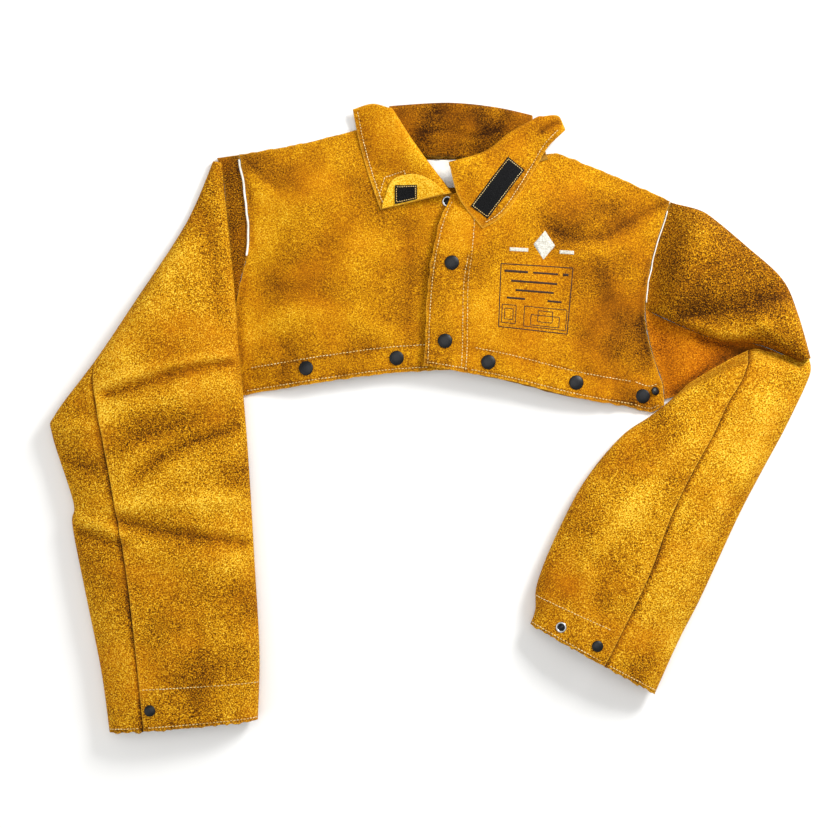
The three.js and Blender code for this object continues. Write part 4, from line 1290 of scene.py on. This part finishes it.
# ---- Piping ----
def tube(name, path, radius, sides=12):
    """A cord along a path, rounded off at both ends."""
    step = np.gradient(path, axis=0)
    step /= np.linalg.norm(step, axis=1)[:, None]
    aside = np.cross(step, (0, 0, 1))
    aside /= np.linalg.norm(aside, axis=1)[:, None]
    up = np.cross(aside, step)
    count = len(path)
    taper = np.sqrt(np.clip(np.minimum(np.arange(count), np.arange(count)[::-1]) / 2.0 + 0.15, 0, 1))
    angles = np.linspace(0, 2 * math.pi, sides, endpoint=False)[None, :, None]
    ring = aside[:, None] * np.cos(angles) + up[:, None] * np.sin(angles)
    vertices = path[:, None] + ring * (radius * taper)[:, None, None]
    faces = ring_faces(count, sides, turned=True) + ring_ends(count, sides, turned=True)
    return new_piece(name, vertices.reshape(-1, 3), faces, PIPING)


def make_piping():
    for side, curve, start, end, x, radius in (("right", armhole_r, 0.02, 0.42, -1.2, 1.3),
                                               ("left", armhole_l, 0.05, 0.5, 1.0, 0.75)):
        place = moved(stretch(curve, start, end), x, 0)(np.linspace(0, 1, 120))
        z = PIPING_LEVEL + 0.15 * ripple(place[:, 0], place[:, 1], 12, 211)
        place[:, 0] += 0.45 * ripple(place[:, 0], place[:, 1], 14, 212)
        attach(tube(f"{side}_piping", np.concatenate([place, z[:, None]], 1), radius), "root",
               [f"{side}_armhole_piping"])


# ---- Snap fasteners: profiles are (radius, height) ----
CAP_PROFILE = [(0, -0.5), (7.6, -0.5), (8.3, -0.1), (8.6, 0.5), (8.45, 1.0), (8.0, 1.35), (7.3, 1.6),
               (6.4, 1.9), (5.0, 2.25), (3.4, 2.5), (1.6, 2.62), (0, 2.65)]
RING_PROFILE = [(0, -0.3), (5.6, -0.3), (6.3, 0.1), (6.4, 0.7), (6.0, 1.25), (5.3, 1.5), (4.6, 1.3),
                (4.3, 0.8), (4.1, 0.35), (0, 0.3)]
WELL_PROFILE = [(0, 0.3), (4.1, 0.32), (3.9, 0.5), (2.2, 0.45), (1.9, 0.9), (1.6, 1.5), (1.0, 1.75), (0, 1.8)]
SEAT_RADIUS = 8  # of the leather that a cap rests on
CUFF_CAP_SCALE = 0.78
SMALL_CAP_SCALE = 0.6


def lathe(profile, sides=44):
    """A solid of revolution about Z: the profile runs from the axis at the bottom to the axis at the top."""
    radii, heights = np.array(profile, float).T
    angles = np.linspace(0, 2 * math.pi, sides, endpoint=False)
    rings = len(profile) - 2
    body = radii[1:-1, None, None] * np.stack([np.cos(angles), np.sin(angles)], -1)[None]
    vertices = np.concatenate([body, np.repeat(heights[1:-1, None], sides, 1)[..., None]], -1).reshape(-1, 3)
    vertices = np.concatenate([vertices, [[0, 0, heights[0]], [0, 0, heights[-1]]]])
    foot, head, last = rings * sides, rings * sides + 1, (rings - 1) * sides
    faces = ring_faces(rings, sides)
    faces += [(foot, (k + 1) % sides, k) for k in range(sides)]
    faces += [(head, last + k, last + (k + 1) % sides) for k in range(sides)]
    return vertices, faces


def on_sheet(x, y, top, radius):
    """The place and normal on which a round piece sits on a sheet's upper face."""
    turns = np.linspace(0, 2 * math.pi, 12, endpoint=False)
    z = top(x + radius * np.cos(turns), y + radius * np.sin(turns))
    slopes = [float((z * way).mean() * 2 / radius) for way in (np.cos(turns), np.sin(turns))]
    normal = np.array([-slopes[0], -slopes[1], 1.0])
    return np.array([x, y, float(z.mean()) + 0.25]), normal / np.linalg.norm(normal)


def on_sleeve(sleeve, station, across, lift=0.35):
    """The same on a sleeve, at a share of its width."""
    here, normal = sleeve_face(sleeve, np.array(math.acos(1 - 2 * across)), np.array(station), 0.05, 0.01)
    return here + normal * lift, normal


def add_round(name, profile, seat, body, nodes=(), paint=CAP, scale=1.0, tilt=(0, 0, 0), lift=0.0):
    """A turned piece on its seat, which is a place and a normal."""
    vertices, faces = lathe(profile)
    place, normal = seat
    turn = np.array(Vector((0, 0, 1)).rotation_difference(Vector(normal + tilt).normalized()).to_matrix())
    vertices = (vertices * (scale, scale, 1)) @ turn.T + place + (0, 0, lift)
    attach(new_piece(name, vertices, faces, paint), body, nodes)


def add_stud(name, seat, body):
    add_round(name + "_ring", RING_PROFILE, seat, body, [name], METAL)
    add_round(name + "_well", WELL_PROFILE, seat, body)


def make_snaps():
    for name, at in RIGHT_CAPS.items():
        add_round(name + "_black", CAP_PROFILE, on_sheet(*at, right_top, SEAT_RADIUS), "root", [name])
    for name, at in LEFT_CAPS.items():
        add_round(name + "_black", CAP_PROFILE, on_sheet(*at, left_top, SEAT_RADIUS), "left_front", [name])
    add_round("left_hem_side_cap_black", CAP_PROFILE, on_sheet(*SIDE_CAP, left_top, SEAT_RADIUS), "root",
              ["left_hem_side_cap"], tilt=(-0.3, -0.1, 0), lift=0.8)
    add_round("left_hem_end_cap_black", CAP_PROFILE, on_sheet(*SMALL_CAP, left_top, SEAT_RADIUS / 2), "root",
              scale=SMALL_CAP_SCALE, tilt=(0.5, 0.2, 0), lift=0.6)
    for side, sleeve, station, across in (("right", RIGHT_SLEEVE, 0.966, 0.7), ("left", LEFT_FORE, 0.955, 0.48)):
        add_round(f"{side}_cuff_cap_black", CAP_PROFILE, on_sleeve(sleeve, station, across), f"{side}_forearm",
                  [f"{side}_cuff_cap"], scale=CUFF_CAP_SCALE)
    add_stud("left_cuff_stud", on_sleeve(LEFT_FORE, 0.955, 0.2, 0.6), "left_forearm")
    add_stud("placket_top_stud", on_sheet(-3, 93, right_top, 6), "root")
    for name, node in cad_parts.items():
        if name.endswith(("_socket", "_upper_stud", "_lower_stud")):
            node.data.materials.clear()
            node.data.materials.append(METAL)


# ---- Stitching ----
def stitch_shape():
    """One stitch about its middle: along, across and up, each about -1..1."""
    rings = [(-1.0, 0.25, -0.5), (-0.7, 0.8, -0.1), (-0.25, 1.0, 0.1), (0.25, 1.0, 0.1), (0.7, 0.8, -0.1),
             (1.0, 0.25, -0.5)]
    angles = np.linspace(0, 2 * math.pi, 7)[:-1]
    vertices = [(along, size * math.cos(a), size * math.sin(a) + lift) for along, size, lift in rings
                for a in angles]
    return np.array(vertices), ring_faces(len(rings), 6) + ring_ends(len(rings), 6)


STITCH_VERTICES, STITCH_FACES = stitch_shape()


def sew(name, rows, body, seed, pitch=STITCH, size=(1.45, 0.52, 0.42), lift=0.22):
    """Rows of stitches. A row is (points, normals) along a seam, or (points, None) where up is the way out."""
    dice = np.random.default_rng(seed)
    vertices, faces = [], []
    for points, normals in rows:
        paced = np.concatenate([[0], np.cumsum(np.linalg.norm(np.diff(points, axis=0), axis=1))])
        at = np.arange(pitch / 2, paced[-1], pitch)

        def along_row(values, where):
            return np.stack([np.interp(where, paced, values[:, k]) for k in range(3)], -1)

        place = along_row(points, at)
        along = along_row(points, at + 0.5) - along_row(points, at - 0.5)
        along /= np.linalg.norm(along, axis=1)[:, None]
        up = np.tile([0.0, 0.0, 1.0], (len(at), 1)) if normals is None else along_row(normals, at)
        across = np.cross(up, along)
        across /= np.linalg.norm(across, axis=1)[:, None]
        up = np.cross(along, across)
        for k in range(len(at)):
            lean = dice.normal(0, 0.07)
            way = along[k] * math.cos(lean) + across[k] * math.sin(lean)
            beside = across[k] * math.cos(lean) - along[k] * math.sin(lean)
            scale = np.array(size) * dice.uniform(0.88, 1.1, 3)
            centre = place[k] + up[k] * lift + across[k] * dice.normal(0, 0.12)
            start = len(vertices) * len(STITCH_VERTICES)
            vertices.append(centre + STITCH_VERTICES * scale @ np.stack([way, beside, up[k]]))
            faces += [tuple(start + i for i in face) for face in STITCH_FACES]
    attach(new_piece(name, np.concatenate(vertices), faces, THREAD), body)


def laid(line, top):
    """A line in plan, carried onto a sheet's upper face."""
    return np.concatenate([line, top(line[:, 0], line[:, 1])[:, None]], 1), None


def round_sleeve(sleeve, angles, station):
    """A line round a sleeve at one station, with its normals."""
    return sleeve_face(sleeve, np.radians(np.linspace(*angles, 90)), np.full(90, station), 0.02, 0.004)


def dense(points, count=120):
    points = np.array(points, float)
    paced = np.concatenate([[0], np.cumsum(np.hypot(*np.diff(points, axis=0).T))])
    at = np.linspace(0, paced[-1], count)
    return np.stack([np.interp(at, paced, points[:, 0]), np.interp(at, paced, points[:, 1])], -1)


def box_line(plan, inset, size, count=160):
    """A line round a tape, inset from its edges."""
    a, b = inset / size[0], inset / size[1]
    corners = np.array([(a, b), (1 - a, b), (1 - a, 1 - b), (a, 1 - b), (a, b)])
    line = dense(corners * size, count) / size
    return plan(line[:, 0], line[:, 1])


def make_stitching():
    sew("right_front_stitches", [laid(line, right_top) for line in HEM_ROWS_R], "root", 301)
    sew("left_front_stitches", [laid(line, left_top) for line in ROWS_L], ACROSS_FOLD, 302)
    leaf_right = sheet_top(right_leaf, RIGHT_LEAF_FOLDS, [LEAF_ROW_R, TAB_BOX], LEAF_SEED)
    leaf_left = sheet_top(left_leaf, LEFT_LEAF_FOLDS, [LEAF_ROW_L], LEAF_SEED)
    sew("right_collar_stitches", [laid(LEAF_ROW_R, leaf_right), laid(dense(TAB_BOX), leaf_right)],
        "right_collar", 303, pitch=3.6)
    sew("left_collar_stitches", [laid(LEAF_ROW_L, leaf_left)], "left_collar", 304, pitch=3.6)
    for side, sleeve in (("right", RIGHT_SLEEVE), ("left", LEFT_FORE)):
        reach = SLEEVE_RUN[side]
        seam = float(seam_angle(sleeve, 1.0))
        rows = [round_sleeve(sleeve, (8, seam - 3), 1 - CUFF_BAND / reach),
                round_sleeve(sleeve, (8, seam - 3), 1 - 4 / reach),
                round_sleeve(sleeve, (seam + 4, 172), 1 - 4 / reach)]
        sew(f"{side}_cuff_stitches", rows, f"{side}_forearm", 305)
    for name, plan, height, size, body, seed in (
            ("hook_tape_stitches", hook_plan, hook_height, HOOK_SIZE, "throat_tab", 306),
            ("loop_tape_stitches", loop_plan, loop_height, LOOP_SIZE, "left_collar", 307)):
        sew(name, [laid(box_line(plan, 1.9, size), sheet_top(height, thick=TAPE_THICKNESS))], body, seed,
            pitch=2.7, size=(1.05, 0.42, 0.36), lift=0.3)


# ---- Print: a plain frame with blank boxes and bars, and a plain lozenge ----
PRINT_CORNERS = np.array([(60, 19), (145, 14), (138, -64), (57, -55)], float)
PRINT_DEPTHS = (-0.3, 0.09)  # its underside and its face, from the face of the leather
FRAME_WIDTH = 1.2
BOX_WIDTH = 0.9
# Left, top, right and foot of each blank box, as shares of the frame
BOXES = [(0.04, 0.64, 0.24, 0.93), (0.36, 0.64, 0.97, 0.95), (0.08, 0.70, 0.20, 0.87),
         (0.46, 0.76, 0.87, 0.92), (0.56, 0.69, 0.77, 0.86)]
# Left, height, right and width of each bar
BARS = [(0.05, 0.11, 0.38, 2.8), (0.45, 0.11, 0.80, 2.2), (0.87, 0.11, 0.95, 3.2), (0.15, 0.26, 0.80, 2.4),
        (0.22, 0.40, 0.76, 2.4), (0.10, 0.53, 0.36, 2.4), (0.68, 0.53, 0.88, 2.4)]
EMBLEM = [([(112, 58), (110, 24)], [0.3, 13, 26, 13, 0.3]), ([(70, 36), (92, 35)], 4.2),
          ([(129, 33), (146, 32)], 4.2)]


def print_place(a, b):
    """A place in the printed frame: a from left to right, b from its top down."""
    a, b = np.asarray(a, float)[..., None], np.asarray(b, float)[..., None]
    top = PRINT_CORNERS[0] * (1 - a) + PRINT_CORNERS[1] * a
    foot = PRINT_CORNERS[3] * (1 - a) + PRINT_CORNERS[2] * a
    return top * (1 - b) + foot * b


def printed_box(left, top, right, foot):
    return print_place([left, right, right, left, left], [top, top, foot, foot, top])


def add_strips(name, lines, paint):
    """Thin printed strips on the left front. Each line is (points in plan, width or widths)."""
    vertices, faces = [], []
    for points, width in lines:
        count = max(int(length_of(np.array(points, float)) / 1.5), 4)
        line = dense(points, count)
        known = np.atleast_1d(width)
        widths = np.interp(np.linspace(0, 1, count), np.linspace(0, 1, len(known)), known)
        step = np.gradient(line, axis=0)
        step /= np.linalg.norm(step, axis=1)[:, None]
        side = np.stack([-step[:, 1], step[:, 0]], -1)
        cross = np.linspace(-0.5, 0.5, 5 if widths.max() > 4 else 3)
        place = line[:, None] + side[:, None] * (widths[:, None] * cross[None])[..., None]
        z = left_top(place[..., 0], place[..., 1])
        faces += sum(shell_faces(*place.shape[:2], sum(map(len, vertices))), [])
        vertices += [np.concatenate([place, (z + depth)[..., None]], -1).reshape(-1, 3)
                     for depth in PRINT_DEPTHS]
    attach(new_piece(name, np.concatenate(vertices), faces, paint), ACROSS_FOLD)


def make_print():
    lines = [(printed_box(0, 0, 1, 1), FRAME_WIDTH)]
    lines += [(printed_box(*box), BOX_WIDTH) for box in BOXES]
    lines += [(print_place([left, right], [top, top]), width) for left, top, right, width in BARS]
    add_strips("chest_print", lines, DARK_INK)
    add_strips("chest_emblem", EMBLEM, WHITE_INK)


# ---- The whole jacket ----
add_camera()
add_lights()
add_floor()
make_body()
make_facings()
make_label()
make_leaf("right", right_leaf_plan, right_leaf, [LEAF_ROW_R, TAB_BOX], RIGHT_LEAF_FOLDS, True, (62, 135), 0.06)
make_leaf("left", left_leaf_plan, left_leaf, [LEAF_ROW_L], LEFT_LEAF_FOLDS, False, (66, 130), -0.1)
make_stand("right", roll_r, moved(stretch(neck_r, 0.02, 0.93), -3, -4), chest, "root")
make_stand("left", roll_l, moved(stretch(neck_l, 0.1, 0.9), 3, -4), left_front, "left_front")
make_back_collar()
make_tab()
make_tapes()
make_sleeves()
make_right_head()
make_gusset()
make_piping()
make_snaps()
make_stitching()
make_print()
